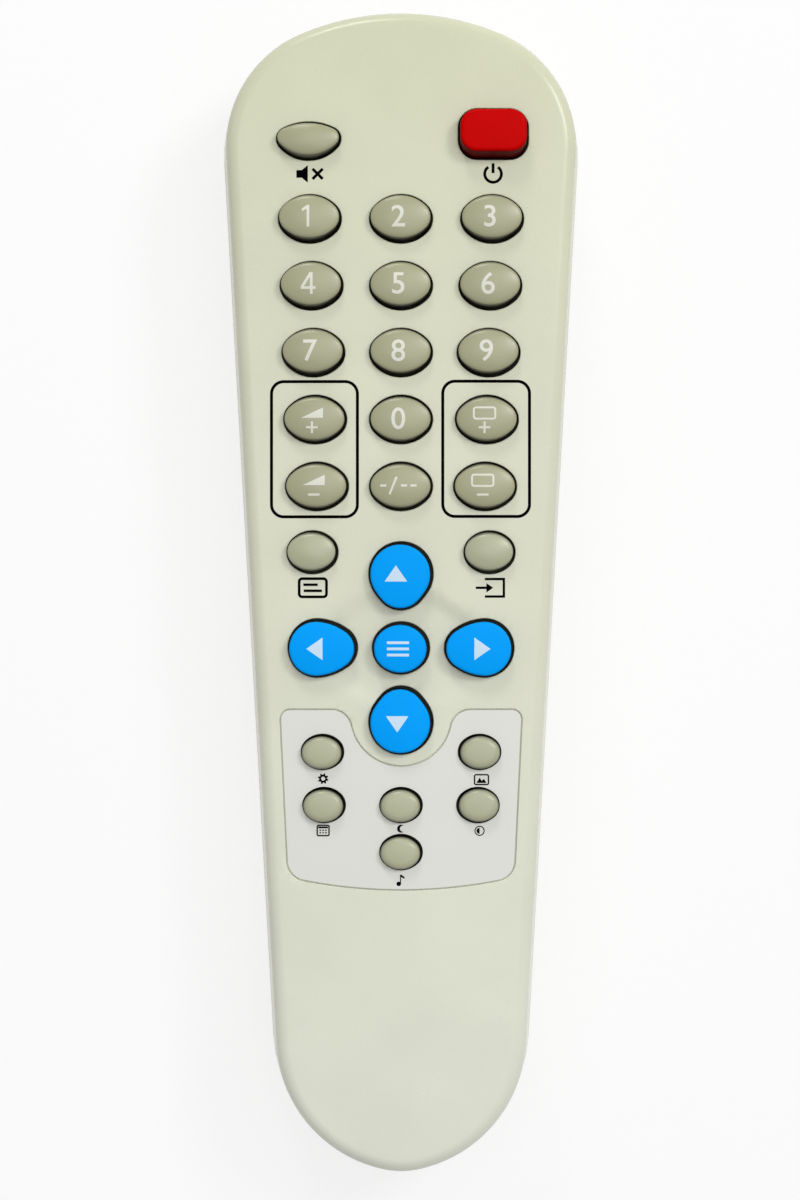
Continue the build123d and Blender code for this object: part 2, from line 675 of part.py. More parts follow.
def make_label():
    """Panel label: a thin sheet in its recess, holed for the small keys."""
    sheet = Pos(0, 0, FACE_Z - LABEL_DEPTH) * extrude(panel_plan(LABEL_GAP), LABEL_DEPTH - LABEL_LOW)
    small = oval(SMALL_LONG, SMALL_SHORT, SMALL_END_RADIUS)
    return sheet - [key_hole(small, x, y) for _, x, y in small_keys()]


def make_lamp():
    """Infrared lamp: a clear body that narrows to its tip, with a rim at its back."""
    end = END_Y
    back = end - LAMP_LENGTH
    neck = end - LAMP_NOSE_LENGTH
    slant = degrees(atan2(LAMP_RADIUS - LAMP_NOSE_RADIUS, LAMP_NOSE_LENGTH))
    nose = extrude(RegularPolygon(LAMP_RADIUS, ROUND_SIDES), LAMP_NOSE_LENGTH, taper=slant)
    body = along(LAMP_RADIUS, 0, PART_Z, back, neck)
    body += along(LAMP_RIM_RADIUS, 0, PART_Z, back, back + LAMP_RIM_LENGTH)
    return body + Pos(0, neck, PART_Z) * Rot(-90, 0, 0) * nose


def make_lamp_leads():
    """Two square leads from the lamp's back to the underside of the board."""
    back = END_Y - LAMP_LENGTH
    bend = BOARD_END_Y - LEAD_PITCH
    half = LEAD_SIZE / 2
    leads = []
    for x in (-LEAD_PITCH / 2, LEAD_PITCH / 2):
        run = span(x - half, x + half, bend, back, PART_Z - half, PART_Z + half)
        leads.append(run + span(x - half, x + half, bend, bend + LEAD_SIZE, PART_Z - half, BOARD_Z))
    return leads


def make_cell(x, direction):
    """One cell lying along Y, its nub towards direction (+1 is the infrared end)."""
    clear = CONTACT_THICKNESS + CONTACT_GAP
    start, end = (BAY_LOW_Y + clear, BAY_LOW_Y + clear + CELL_LENGTH)
    if direction > 0:
        start, end = (BAY_HIGH_Y - clear - CELL_LENGTH, BAY_HIGH_Y - clear)
        body = along(CELL_DIAMETER / 2, x, CELL_Z, start, end - NUB_LENGTH)
    else:
        body = along(CELL_DIAMETER / 2, x, CELL_Z, start + NUB_LENGTH, end)
    return body + along(NUB_DIAMETER / 2, x, CELL_Z, start, end)


def make_end_contacts():
    """Two contact plates on the bay's upper end wall, each with a tab up to the board."""
    half = CONTACT_WIDTH / 2
    back = BAY_HIGH_Y - CONTACT_THICKNESS
    plates = []
    for x in (-CELL_PITCH / 2, CELL_PITCH / 2):
        plate = span(x - half, x + half, back, BAY_HIGH_Y, CELL_Z - half, CELL_Z + half)
        plates.append(plate + span(x - TAB_WIDTH / 2, x + TAB_WIDTH / 2, back, BAY_HIGH_Y, CELL_Z, BOARD_Z))
    return plates


def make_bridge_contact():
    """One plate on the bay's lower end wall that joins the two cells."""
    half = (CELL_PITCH + CONTACT_WIDTH) / 2
    height = CONTACT_WIDTH / 2
    return span(-half, half, BAY_LOW_Y, BAY_LOW_Y + CONTACT_THICKNESS, CELL_Z - height, CELL_Z + height)


def coil_route():
    """Middle line of a spring wound about Z: a helix as pairs of arcs, one pair for each quarter turn."""
    quarters = 4 * SPRING_TURNS
    climb = SPRING_PITCH / (2 * pi)
    speed = hypot(SPRING_RADIUS, climb)
    points = []
    ways = []
    for step in range(quarters + 1):
        angle = step * pi / 2
        points.append(Vector(SPRING_RADIUS * cos(angle), SPRING_RADIUS * sin(angle), climb * angle))
        ways.append(Vector(-SPRING_RADIUS * sin(angle), SPRING_RADIUS * cos(angle), climb) / speed)
    arcs = []
    joins = []
    for start, end, leave, arrive in zip(points, points[1:], ways, ways[1:]):
        chord = end - start
        both = leave + arrive
        square = both.dot(both) - 4
        linear = -2 * chord.dot(both)
        reach = (-linear - sqrt(linear**2 - 4 * square * chord.dot(chord))) / (2 * square)
        join = (start + leave * reach + end - arrive * reach) / 2
        middle_way = (end - arrive * reach - start - leave * reach).normalized()
        arcs.append(TangentArc(start, join, tangent=leave))
        arcs.append(TangentArc(join, end, tangent=middle_way))
        joins.append(join)
    return Wire(arcs), points + joins


def make_spring():
    """Contact spring about Z from zero up: one unbroken square wire."""
    route, points = coil_route()
    start = Plane(origin=route @ 0, z_dir=route % 0, x_dir=(1, 0, 0))
    wire = sweep(start * Rectangle(SPRING_WIRE, SPRING_WIRE), path=route, is_frenet=True)
    turn_gap = min((a - b).length for a in points for b in points if abs(a.Z - b.Z) > SPRING_PITCH * 0.9)
    print("least gap between turns", round(turn_gap - SPRING_WIRE, 3))
    return Pos(0, 0, SPRING_WIRE / 2) * wire


def make_springs():
    """The two contact springs, each between its plate and the flat end of its cell."""
    spring = make_spring()
    seat = CONTACT_THICKNESS
    low = Pos(-CELL_PITCH / 2, BAY_LOW_Y + seat, CELL_Z) * Rot(-90, 0, 0) * spring
    high = Pos(CELL_PITCH / 2, BAY_HIGH_Y - seat, CELL_Z) * Rot(90, 0, 0) * spring
    return [low, high]


def make_case_screw():
    """Screw whose head lies under the roof of the bay, between the cells."""
    head = post(CASE_HEAD_RADIUS, 0, CASE_SCREW_Y, BAY_CEILING - CASE_HEAD_HEIGHT, BAY_CEILING)
    return head + post(CASE_SCREW_RADIUS, 0, CASE_SCREW_Y, BAY_CEILING, BAY_CEILING + CASE_SCREW_LENGTH)


def make_chip():
    """Controller chip under the board with a row of legs on each side."""
    half_length = CHIP_LENGTH / 2
    half_width = CHIP_WIDTH / 2
    chip = span(-half_length, half_length, CHIP_Y - half_width, CHIP_Y + half_width,
                BOARD_Z - CHIP_HEIGHT, BOARD_Z - CHIP_LEG_THICKNESS)
    for leg in range(CHIP_LEG_COUNT):
        x = (leg - (CHIP_LEG_COUNT - 1) / 2) * CHIP_LEG_PITCH
        chip += span(x - CHIP_LEG_WIDTH / 2, x + CHIP_LEG_WIDTH / 2,
                     CHIP_Y - half_width - CHIP_LEG_REACH, CHIP_Y + half_width + CHIP_LEG_REACH,
                     BOARD_Z - 2 * CHIP_LEG_THICKNESS, BOARD_Z)
    return chip


def make_resonator():
    """Ceramic resonator block standing under the board."""
    long, wide, tall = RESONATOR_SIZE
    x, distance = RESONATOR_PLACE
    return centred_block(long, wide, x, END_Y - distance, BOARD_Z - tall, BOARD_Z)


def make_capacitor():
    """Electrolytic capacitor standing under the board."""
    x, distance = CAPACITOR_PLACE
    return post(CAPACITOR_RADIUS, x, END_Y - distance, BOARD_Z - CAPACITOR_HEIGHT, BOARD_Z)


def make_transistor():
    """Lamp driver transistor: a round body with one flat side."""
    x, distance = TRANSISTOR_PLACE
    y = END_Y - distance
    body = post(TRANSISTOR_RADIUS, x, y, BOARD_Z - TRANSISTOR_HEIGHT, BOARD_Z)
    return body & span(x - LENGTH, x + LENGTH, y - TRANSISTOR_FLAT, y + LENGTH, 0, PART_Z + LENGTH)


def make_resistors():
    """Flat chip resistors under the board."""
    long, wide, tall = RESISTOR_SIZE
    return [centred_block(long, wide, x, END_Y - distance, BOARD_Z - tall, BOARD_Z)
            for x, distance in RESISTOR_PLACES]


def solids_of(shape):
    """All solids of one shape or of a list of shapes."""
    shapes = shape if isinstance(shape, list) else [shape]
    return [solid for item in shapes for solid in item.solids()]


def build():
    """Make every node and write one STEP file for each."""
    keys = key_list()
    nodes = {
        "top_shell": make_top_shell(keys),
        "bottom_shell": make_bottom_shell(),
        "battery_cover": make_battery_cover(),
        "keypad_mat": make_mat(keys),
        "circuit_board": make_board(),
        "contact_pads": make_pads(keys),
        "panel_label": make_label(),
        "infrared_lamp": make_lamp(),
        "lamp_leads": make_lamp_leads(),
        "battery_left": make_cell(-CELL_PITCH / 2, 1),
        "battery_right": make_cell(CELL_PITCH / 2, -1),
        "end_contacts": make_end_contacts(),
        "bridge_contact": make_bridge_contact(),
        "contact_springs": make_springs(),
        "case_screw": make_case_screw(),
        "controller_chip": make_chip(),
        "resonator": make_resonator(),
        "capacitor": make_capacitor(),
        "transistor": make_transistor(),
        "resistors": make_resistors(),
    }
    for name, plan, x, y, rise in keys:
        nodes[name] = make_key(name, plan, x, y, rise)
    os.makedirs("parts", exist_ok=True)
    for name, shape in nodes.items():
        export_step(Compound(solids_of(shape)), f"parts/{name}.step")


build()
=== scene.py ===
import bmesh
import bpy
import numpy as np
from mathutils.geometry import delaunay_2d_cdt
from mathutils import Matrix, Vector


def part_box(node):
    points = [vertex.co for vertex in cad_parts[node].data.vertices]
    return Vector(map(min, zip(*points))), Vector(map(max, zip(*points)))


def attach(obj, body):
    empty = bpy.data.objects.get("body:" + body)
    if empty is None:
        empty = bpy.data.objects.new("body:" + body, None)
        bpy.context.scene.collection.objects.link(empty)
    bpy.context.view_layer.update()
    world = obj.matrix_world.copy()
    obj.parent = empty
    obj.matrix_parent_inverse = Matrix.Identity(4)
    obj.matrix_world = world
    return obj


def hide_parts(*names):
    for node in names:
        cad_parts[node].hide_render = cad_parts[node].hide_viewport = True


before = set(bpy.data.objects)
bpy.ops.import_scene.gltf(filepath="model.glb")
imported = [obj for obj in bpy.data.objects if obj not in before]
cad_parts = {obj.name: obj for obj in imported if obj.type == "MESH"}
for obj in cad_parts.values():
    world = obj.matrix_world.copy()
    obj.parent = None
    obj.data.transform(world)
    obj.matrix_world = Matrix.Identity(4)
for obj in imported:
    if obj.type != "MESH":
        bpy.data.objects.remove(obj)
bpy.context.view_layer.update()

# Surroundings
# The handset lies on a sheet of white paper in a bright room. A wide soft lamp hangs above it, a smaller one
# stands to the right, and a third one stands low beyond the infrared end. Places in every section are in
# millimetres, and MM turns them into the metres of the scene.
MM = 0.001
WHITE = (1.0, 1.0, 1.0, 1.0)
CAMERA_AIM = (-0.16, -1.2)
CAMERA_HEIGHT = 380.0
CAMERA_LENS = 69.07
FLOOR_REACH = 1000.0
FLOOR_GLOW = 0.75
GLOW_NEAR = 250.0
GLOW_FAR = 850.0
ROOM_LIGHT = 0.36
LAMP_AIM = (0.0, -20.0, 0.0)


def linear(red, green, blue):
    """Colour for a shader from a screen's 0 to 255 values: the usual power curve with its straight toe."""
    shown = np.array([red, green, blue]) / 255
    return (*np.where(shown <= 0.04045, shown / 12.92, ((shown + 0.055) / 1.055) ** 2.4), 1.0)


def placed(name, data):
    """A new object in the scene that holds this mesh, curve, lamp or camera."""
    thing = bpy.data.objects.new(name, data)
    bpy.context.scene.collection.objects.link(thing)
    return thing


def new_object(name, mesh, material, smooth=True):
    """Adds a mesh to the scene under this name, with its material."""
    piece = placed(name, mesh)
    mesh.materials.clear()
    mesh.materials.append(material)
    mesh.polygons.foreach_set("use_smooth", [smooth] * len(mesh.polygons))
    return piece


def node_maker(owner):
    """Empties a material's or a world's node tree and returns the function that adds nodes to it."""
    owner.use_nodes = True
    tree = owner.node_tree
    tree.nodes.clear()

    def add(kind, values=(), **settings):
        """A new node with these settings. Each input has its value, or is linked where that is an output."""
        node = tree.nodes.new(kind)
        for setting, value in settings.items():
            setattr(node, setting, value)
        for name, value in dict(values).items():
            if isinstance(value, bpy.types.NodeSocket):
                tree.links.new(value, node.inputs[name])
            else:
                node.inputs[name].default_value = value
        return node

    return add


def ranged(add, value, low, high, start=0.0, end=1.0):
    """Output that goes from low to high while a value goes from start to end."""
    ends = {"Value": value, "From Min": start, "From Max": end, "To Min": low, "To Max": high}
    return add("ShaderNodeMapRange", ends).outputs["Result"]


def shown_straight(add):
    """Output that is 1 for the rays that show a background: the camera's, and those that shine off a surface
    or go through it."""
    rays = add("ShaderNodeLightPath").outputs
    either = add("ShaderNodeMath", {0: rays["Is Camera Ray"], 1: rays["Is Glossy Ray"]}, operation="ADD")
    any_ray = {0: either.outputs[0], 1: rays["Is Transmission Ray"]}
    return add("ShaderNodeMath", any_ray, operation="ADD", use_clamp=True).outputs[0]


# The paper takes the lamps' light and the handset's shadow, and glows where it shows, fully so further away
paper = bpy.data.materials.new("white_paper")
add = node_maker(paper)
sheet = add("ShaderNodeBsdfPrincipled", {"Base Color": linear(247, 246, 247), "Roughness": 0.9})
glow = add("ShaderNodeEmission", {"Color": WHITE})
place = add("ShaderNodeTexCoord").outputs["Object"]
away = add("ShaderNodeVectorMath", {0: place}, operation="LENGTH").outputs["Value"]
whiter = ranged(add, away, FLOOR_GLOW, 1.0, GLOW_NEAR * MM, GLOW_FAR * MM)
seen = add("ShaderNodeMath", {0: shown_straight(add), 1: whiter}, operation="MULTIPLY")
blend = add("ShaderNodeMixShader", {0: seen.outputs[0], 1: sheet.outputs[0], 2: glow.outputs[0]})
add("ShaderNodeOutputMaterial", {0: blend.outputs[0]})
corners = np.array([(-1, -1, 0), (1, -1, 0), (1, 1, 0), (-1, 1, 0)]) * FLOOR_REACH * MM
floor_mesh = bpy.data.meshes.new("floor")
floor_mesh.from_pydata(corners, [], [(0, 1, 2, 3)])
floor = new_object("floor", floor_mesh, paper, smooth=False)


def lamp(name, place, size, power):
    """A square area lamp at a place, turned towards the handset."""
    light = bpy.data.lights.new(name, "AREA")
    light.size = size * MM
    light.energy = power
    holder = placed(name, light)
    holder.location = np.array(place) * MM
    way = np.array(LAMP_AIM) - np.array(place)
    tilt = np.arccos(-way[2] / np.linalg.norm(way))
    holder.rotation_euler = (0.0, tilt, np.arctan2(-way[1], -way[0]))


lamp("window_light", (150.0, 200.0, 1080.0), 900.0, 4.3)
lamp("side_light", (560.0, 430.0, 760.0), 250.0, 2.9)
lamp("far_light", (-160.0, 900.0, 480.0), 220.0, 2.2)
world = bpy.data.worlds.new("room")
bpy.context.scene.world = world
add = node_maker(world)
level = ranged(add, shown_straight(add), ROOM_LIGHT, 1.0)
room = add("ShaderNodeBackground", {"Color": WHITE, "Strength": level})
add("ShaderNodeOutputWorld", {0: room.outputs[0]})
bpy.context.scene.view_settings.view_transform = "Standard"

eye = placed("camera", bpy.data.cameras.new("camera"))
eye.data.lens = CAMERA_LENS
eye.data.clip_start = 10 * MM
eye.location = np.array((*CAMERA_AIM, CAMERA_HEIGHT)) * MM
bpy.context.scene.camera = eye

# Upper case
# One moulding of cream ABS with a fine grain: a barely crowned face with rounded rims, holes for the 30 keys,
# a shallow diamond dish round the arrow keys and a recess for the panel label. Its tongue stands in the lower
# case and holds the two together.
END_Y = 91.25
MID_HALF_WIDTH = 24.31
SIDE_TAPER = 3.22
TOP_END_RADIUS = 41.0
TOP_CORNER_RADIUS = 20.0
NOSE_RADIUS = 14.0
SHOULDER_RADIUS = 22.0
PART_Z = 12.5
FACE_Z = 22.5
WALL = 2.0
FACE_DRAFT = 0.8
FACE_EDGE = 2.2
TONGUE_DEPTH = 1.2
TONGUE_INSET = 1.1
PARTING_EDGE = 0.08
HOLE_EDGE = 0.15
RECESS_EDGE = 0.1
CROWN = 0.3
END_DROP = 0.35
MESH_SPACING = 1.3
MERGE = 0.002
DISH_LONG = 17.0
DISH_SHORT = 10.9
DISH_DEPTH = 0.5
DISH_EDGE = 0.24
LAMP_HOLE_RADIUS = 2.6
BORE_OUTSIDE = 2.0
BORE_INSIDE = 6.0
MENU_Y = -8.65
ARROW_X = 12.15
ARROW_Y = 11.2
ROWS_FROM = 58.0
ROW_STEP = 10.39
COLUMN_X = 14.16
COLUMN_STEP = 0.276
RISE = 2.0
SMALL_RISE = 1.4


def arc(x, y, radius, start, end, step=6.0):
    """Rows (centre x, centre y, radius, direction x, direction y) from one angle in degrees up to another. A
    point of the plan is its centre plus its direction times its radius, so less radius in every row moves
    the whole plan inwards. A hollow arc has a negative radius and runs backwards."""
    count = max(1, round(abs(end - start) / step))
    angle = np.radians(start + (end - start) * np.arange(count) / count)
    direction = np.sign(radius) * np.column_stack([np.cos(angle), np.sin(angle)])
    return np.column_stack([np.tile((x, y, radius), (count, 1)), direction])


def straight(start, end, angle, count=1):
    """Rows of a straight side between two points, its outward direction at that angle."""
    share = np.arange(count)[:, None] / count
    base = np.array(start) + (np.array(end) - np.array(start)) * share
    direction = np.tile((np.cos(np.radians(angle)), np.sin(np.radians(angle))), (count, 1))
    return np.column_stack([base, np.zeros(count), direction])


def on_arc(x, y, radius, angle):
    """The point of an arc at an angle in degrees."""
    return x + radius * np.cos(np.radians(angle)), y + radius * np.sin(np.radians(angle))


def ring(plan, inset=0.0):
    """Points of a plan moved inwards: centre plus direction times (radius minus inset)."""
    return plan[:, :2] + plan[:, 3:] * (plan[:, 2:3] - np.asarray(inset, float)[..., None, None])


def wall(plan, profile, place=(0.0, 0.0)):
    """Grid of points: the plan's ring at each (inset, height) pair of a profile, moved to a place."""
    inset, height = np.array(profile, float).T
    flat = ring(plan, inset) + np.array(place)
    return np.concatenate([flat, np.broadcast_to(height[:, None, None], flat.shape[:2] + (1,))], axis=-1)


def round_edge(inset, height, radius, start, end, steps=5):
    """Profile pairs of a quarter round about a centre given as (inset, height), from one angle to another."""
    angle = np.radians(np.linspace(start, end, steps + 1))
    pairs = np.column_stack([inset - radius * np.cos(angle), height + radius * np.sin(angle)])
    return [tuple(pair) for pair in pairs]


def skin(points, look=0):
    """Patch of four-sided faces over a grid whose rows close on themselves. It faces outwards where the rows
    rise. A patch is its points, its faces and the number of its material."""
    rows, columns = points.shape[:2]
    index = np.arange(rows * columns).reshape(rows, columns)
    ahead = np.roll(index, -1, axis=1)
    faces = np.stack([index[:-1], ahead[:-1], ahead[1:], index[1:]], axis=-1)
    return points.reshape(-1, 3), faces.reshape(-1, 4), look


def inside(points, loop):
    """Whether each point lies in a loop: a ray to the right of it crosses the loop an odd number of times."""
    x, y = points[:, :1], points[:, 1:]
    from_x, from_y = loop.T
    to_x, to_y = np.roll(loop, -1, axis=0).T
    rise = np.where(to_y == from_y, 1.0, to_y - from_y)
    crossed = ((from_y > y) != (to_y > y)) & (x < (to_x - from_x) * (y - from_y) / rise + from_x)
    return crossed.sum(axis=1) % 2 == 1


def filled(loops, height, spacing, facing=1):
    """Flat patch inside the first loop and outside the others: Delaunay triangles over the loops' points and
    those of a square grid that keep a little over half its spacing from the loops."""
    outline, *holes = loops
    ticks = [np.arange(low, high, spacing) for low, high in zip(outline.min(axis=0), outline.max(axis=0))]
    between = np.stack(np.meshgrid(*ticks), axis=-1).reshape(-1, 2)
    edge = np.concatenate(loops)
    gap = np.sqrt(((between[:, None] - edge[None]) ** 2).sum(axis=-1)).min(axis=1)
    between = between[gap > 0.55 * spacing]
    ends = np.cumsum([0] + [len(loop) for loop in loops])
    runs = [np.arange(first, last) for first, last in zip(ends, ends[1:])]
    joins = [np.column_stack([run, np.roll(run, -1)]) for run in runs]
    points = np.concatenate([edge, between])
    found = delaunay_2d_cdt(points.tolist(), np.concatenate(joins).tolist(), [], 0, 1e-6)
    points = np.array([tuple(point) for point in found[0]])
    faces = np.array(found[2])
    middle = points[faces].mean(axis=1)
    kept = inside(middle, outline)
    for hole in holes:
        kept &= ~inside(middle, hole)
    faces = faces[kept]
    first, second, third = points[faces].transpose(1, 0, 2)
    turn = (second[:, 0] - first[:, 0]) * (third[:, 1] - first[:, 1])
    turn -= (second[:, 1] - first[:, 1]) * (third[:, 0] - first[:, 0])
    wrong = turn * facing < 0
    faces[wrong] = faces[wrong][:, ::-1]
    return np.column_stack([points, np.full(len(points), height)]), faces, 0


def joined(name, patches, *materials):
    """One object from patches in millimetres, with their shared edges merged."""
    all_points, all_faces, looks = zip(*patches)
    starts = np.cumsum([0] + [len(points) for points in all_points])
    faces = [face for start, group in zip(starts, all_faces) for face in (np.asarray(group) + start).tolist()]
    mesh = bpy.data.meshes.new(name)
    mesh.from_pydata(np.concatenate(all_points) * MM, [], faces)
    piece = new_object(name, mesh, materials[0])
    for material in materials[1:]:
        mesh.materials.append(material)
    mesh.polygons.foreach_set("material_index", np.repeat(looks, [len(group) for group in all_faces]))
    work = bmesh.new()
    work.from_mesh(mesh)
    bmesh.ops.remove_doubles(work, verts=work.verts, dist=MERGE * MM)
    bmesh.ops.dissolve_degenerate(work, edges=work.edges, dist=MERGE / 2 * MM)
    work.to_mesh(mesh)
    work.free()
    return piece


def even_shading(piece, sharp=40.0):
    """Edges sharper than an angle stay crisp, and the rest is smooth, led by the larger faces."""
    piece.data.set_sharp_from_angle(angle=np.radians(sharp))
    modifier = piece.modifiers.new("even_shading", "WEIGHTED_NORMAL")
    modifier.keep_sharp = True
    modifier.weight = 60


def face_height(x, y):
    """Height of the face: its middle less a crown across, a drop towards both ends and the dish."""
    low = CROWN * (x / MID_HALF_WIDTH) ** 2 + END_DROP * (y / END_Y) ** 4
    reach = (np.abs(x) / DISH_LONG) ** 1.2 + (np.abs(y - MENU_Y) / DISH_SHORT) ** 1.2
    slope = np.clip((1.0 - reach) / DISH_EDGE, 0.0, 1.0)
    return FACE_Z - low - DISH_DEPTH * slope**2 * (3 - 2 * slope)


def settled(points):
    """Lowers points to follow the crowned face, fully at the face and not at all at the parting plane."""
    share = np.clip((points[..., 2] - PART_Z) / (FACE_Z - PART_Z), 0.0, 1.2)
    drop = (FACE_Z - face_height(points[..., 0], points[..., 1])) * share
    return np.concatenate([points[..., :2], (points[..., 2] - drop)[..., None]], axis=-1)


def side_arc(end_y, end_radius, radius):
    """Centre of the arc that touches both the straight side and an end arc."""
    slope = np.tan(np.radians(SIDE_TAPER))
    reach = MID_HALF_WIDTH - radius * np.hypot(1, slope)
    terms = [1 + slope**2, 2 * slope * reach - 2 * end_y, reach**2 + end_y**2 - (end_radius - radius) ** 2]
    y = np.roots(terms).max()
    return reach + slope * y, y


top_y = END_Y - TOP_END_RADIUS
nose_y = NOSE_RADIUS - END_Y
corner_x, corner_y = side_arc(top_y, TOP_END_RADIUS, TOP_CORNER_RADIUS)
shoulder_x, shoulder_y = side_arc(nose_y, NOSE_RADIUS, SHOULDER_RADIUS)
top_turn = np.degrees(np.arctan2(corner_y - top_y, corner_x))
low_turn = np.degrees(np.arctan2(nose_y - shoulder_y, -shoulder_x))
high = np.array(on_arc(corner_x, corner_y, TOP_CORNER_RADIUS, -SIDE_TAPER))
low = np.array(on_arc(shoulder_x, shoulder_y, SHOULDER_RADIUS, -SIDE_TAPER))
flip = np.array([-1, 1])
case_plan = np.concatenate([
    straight(low, high, -SIDE_TAPER, 60),
    arc(corner_x, corner_y, TOP_CORNER_RADIUS, -SIDE_TAPER, top_turn, 4.0),
    arc(0.0, top_y, TOP_END_RADIUS, top_turn, 180 - top_turn, 2.5),
    arc(-corner_x, corner_y, TOP_CORNER_RADIUS, 180 - top_turn, 180 + SIDE_TAPER, 4.0),
    straight(high * flip, low * flip, 180 + SIDE_TAPER, 60),
    arc(-shoulder_x, shoulder_y, SHOULDER_RADIUS, 180 + SIDE_TAPER, 180 - low_turn, 4.0),
    arc(0.0, nose_y, NOSE_RADIUS, 180 - low_turn, 360 + low_turn, 4.0),
    arc(shoulder_x, shoulder_y, SHOULDER_RADIUS, 360 + low_turn, 360 - SIDE_TAPER, 4.0),
])


def bow(length, width, corner, top_radius=None):
    """Plan of an upper and a lower arc between two corner arcs. The upper arc is like the lower one unless it
    is given a radius."""
    across = length / 2 - corner

    def touching(reach):
        """Radius of an arc that rises by reach over the corners' centres: the way from its own centre to
        theirs is its radius less theirs."""
        return (across**2 + reach**2 - corner**2) / (2 * (reach - corner))

    top_radius = top_radius or touching(width / 2)
    top_y = width / 2 - top_radius
    corner_y = top_y + np.sqrt((top_radius - corner) ** 2 - across**2)
    low_radius = touching(corner_y + width / 2)
    low_y = low_radius - width / 2
    up = np.degrees(np.arctan2(corner_y - top_y, across))
    down = np.degrees(np.arctan2(corner_y - low_y, across))
    return np.concatenate([
        arc(across, corner_y, corner, down, up),
        arc(0.0, top_y, top_radius, up, 180 - up),
        arc(-across, corner_y, corner, 180 - up, 180 - down),
        arc(0.0, low_y, low_radius, 180 - down, 360 + down),
    ])


def turning(angle):
    """Matrix that turns rows of points by an angle in degrees."""
    cos, sin = np.cos(np.radians(angle)), np.sin(np.radians(angle))
    return np.array([[cos, sin], [-sin, cos]])


def egg(wide, narrow, length, flank, turn):
    """Plan of an egg: a wide arc above, a narrow one below, and flank arcs that touch both; then turned."""
    wide_y = length / 2 - wide
    apart = length - wide - narrow
    along = ((flank - narrow) ** 2 - (flank - wide) ** 2 + apart**2) / (2 * apart)
    flank_y = wide_y - apart + along
    flank_x = np.sqrt((flank - narrow) ** 2 - along**2)
    up = np.degrees(np.arctan2(wide_y - flank_y, flank_x))
    down = np.degrees(np.arctan2(wide_y - apart - flank_y, flank_x))
    plan = np.concatenate([
        arc(-flank_x, flank_y, flank, down, up),
        arc(0.0, wide_y, wide, up, 180 - up),
        arc(flank_x, flank_y, flank, 180 - up, 180 - down),
        arc(0.0, wide_y - apart, narrow, 180 - down, 360 + down),
    ])
    return np.column_stack([plan[:, :2] @ turning(turn), plan[:, 2], plan[:, 3:] @ turning(turn)])


def box_plan(length, width, corner):
    """Plan of a rectangle with round corners."""
    x, y = length / 2 - corner, width / 2 - corner
    sides = [(x, -y, 0), (x, y, 90), (-x, y, 180), (-x, -y, 270)]
    parts = []
    for (x, y, _), (next_x, next_y, angle) in zip(sides[-1:] + sides[:-1], sides):
        start, end = on_arc(x, y, corner, angle - 90), on_arc(next_x, next_y, corner, angle - 90)
        parts += [straight(start, end, angle - 90), arc(next_x, next_y, corner, angle - 90, angle)]
    return np.concatenate(parts)


# Every key as name: (plan of its hole, place, height of its top over the face)
number_plan = bow(9.9, 7.7, 3.0)
side_plan = bow(8.05, 6.8, 3.0)
small_plan = bow(6.8, 5.7, 2.5)
keys = {
    "mute": (bow(10.14, 6.1, 1.95, 8.85), (-14.35, 70.1), RISE),
    "power": (box_plan(11.0, 8.0, 3.0), (14.35, 71.2), 3.1),
}
rows = [("1", "2", "3"), ("4", "5", "6"), ("7", "8", "9"), ("volume_up", "0", "channel_up"),
        ("volume_down", "digits", "channel_down")]
for row, names in enumerate(rows):
    column = COLUMN_X - COLUMN_STEP * row
    for name, x in zip(names, (-column, 0.0, column)):
        keys[name] = (number_plan, (x, ROWS_FROM - ROW_STEP * row), RISE)
keys["display"] = (side_plan, (-13.75, 6.2), RISE)
keys["tv_video"] = (side_plan, (13.75, 6.2), RISE)
keys["up"] = (egg(5.05, 4.1, 10.7, 11.0, 0), (0.0, MENU_Y + ARROW_Y), RISE)
keys["down"] = (egg(5.05, 4.1, 10.7, 11.0, 180), (0.0, MENU_Y - ARROW_Y), RISE)
keys["left"] = (egg(4.6, 3.6, 10.9, 8.8, 90), (-ARROW_X, MENU_Y), RISE)
keys["right"] = (egg(4.6, 3.6, 10.9, 8.8, -90), (ARROW_X, MENU_Y), RISE)
keys["menu"] = (bow(9.0, 8.25, 3.85), (0.0, MENU_Y), RISE)
small_keys = {"sys": (-12.2, -24.8), "pic": (12.2, -24.8), "calendar": (-11.95, -33.05),
              "sleep": (0.0, -33.05), "picture_mode": (11.95, -33.05), "sound_mode": (0.0, -40.35)}
for name, place in small_keys.items():
    keys[name] = (small_plan, place, SMALL_RISE)

# The panel label's plan: tapered sides, a bowed lower end and a round notch under the down key
PANEL_TOP = -18.1
PANEL_END = -46.35
PANEL_HALF = 18.95
PANEL_TAPER = 2.72
PANEL_BOW = 80.0
PANEL_TOP_CORNER = 1.65
PANEL_LOW_CORNER = 3.3
NOTCH_RADIUS = 7.75
NOTCH_Y = -19.15
NOTCH_FILLET = 3.3
LABEL_DEPTH = 0.5
LABEL_GAP = 0.2


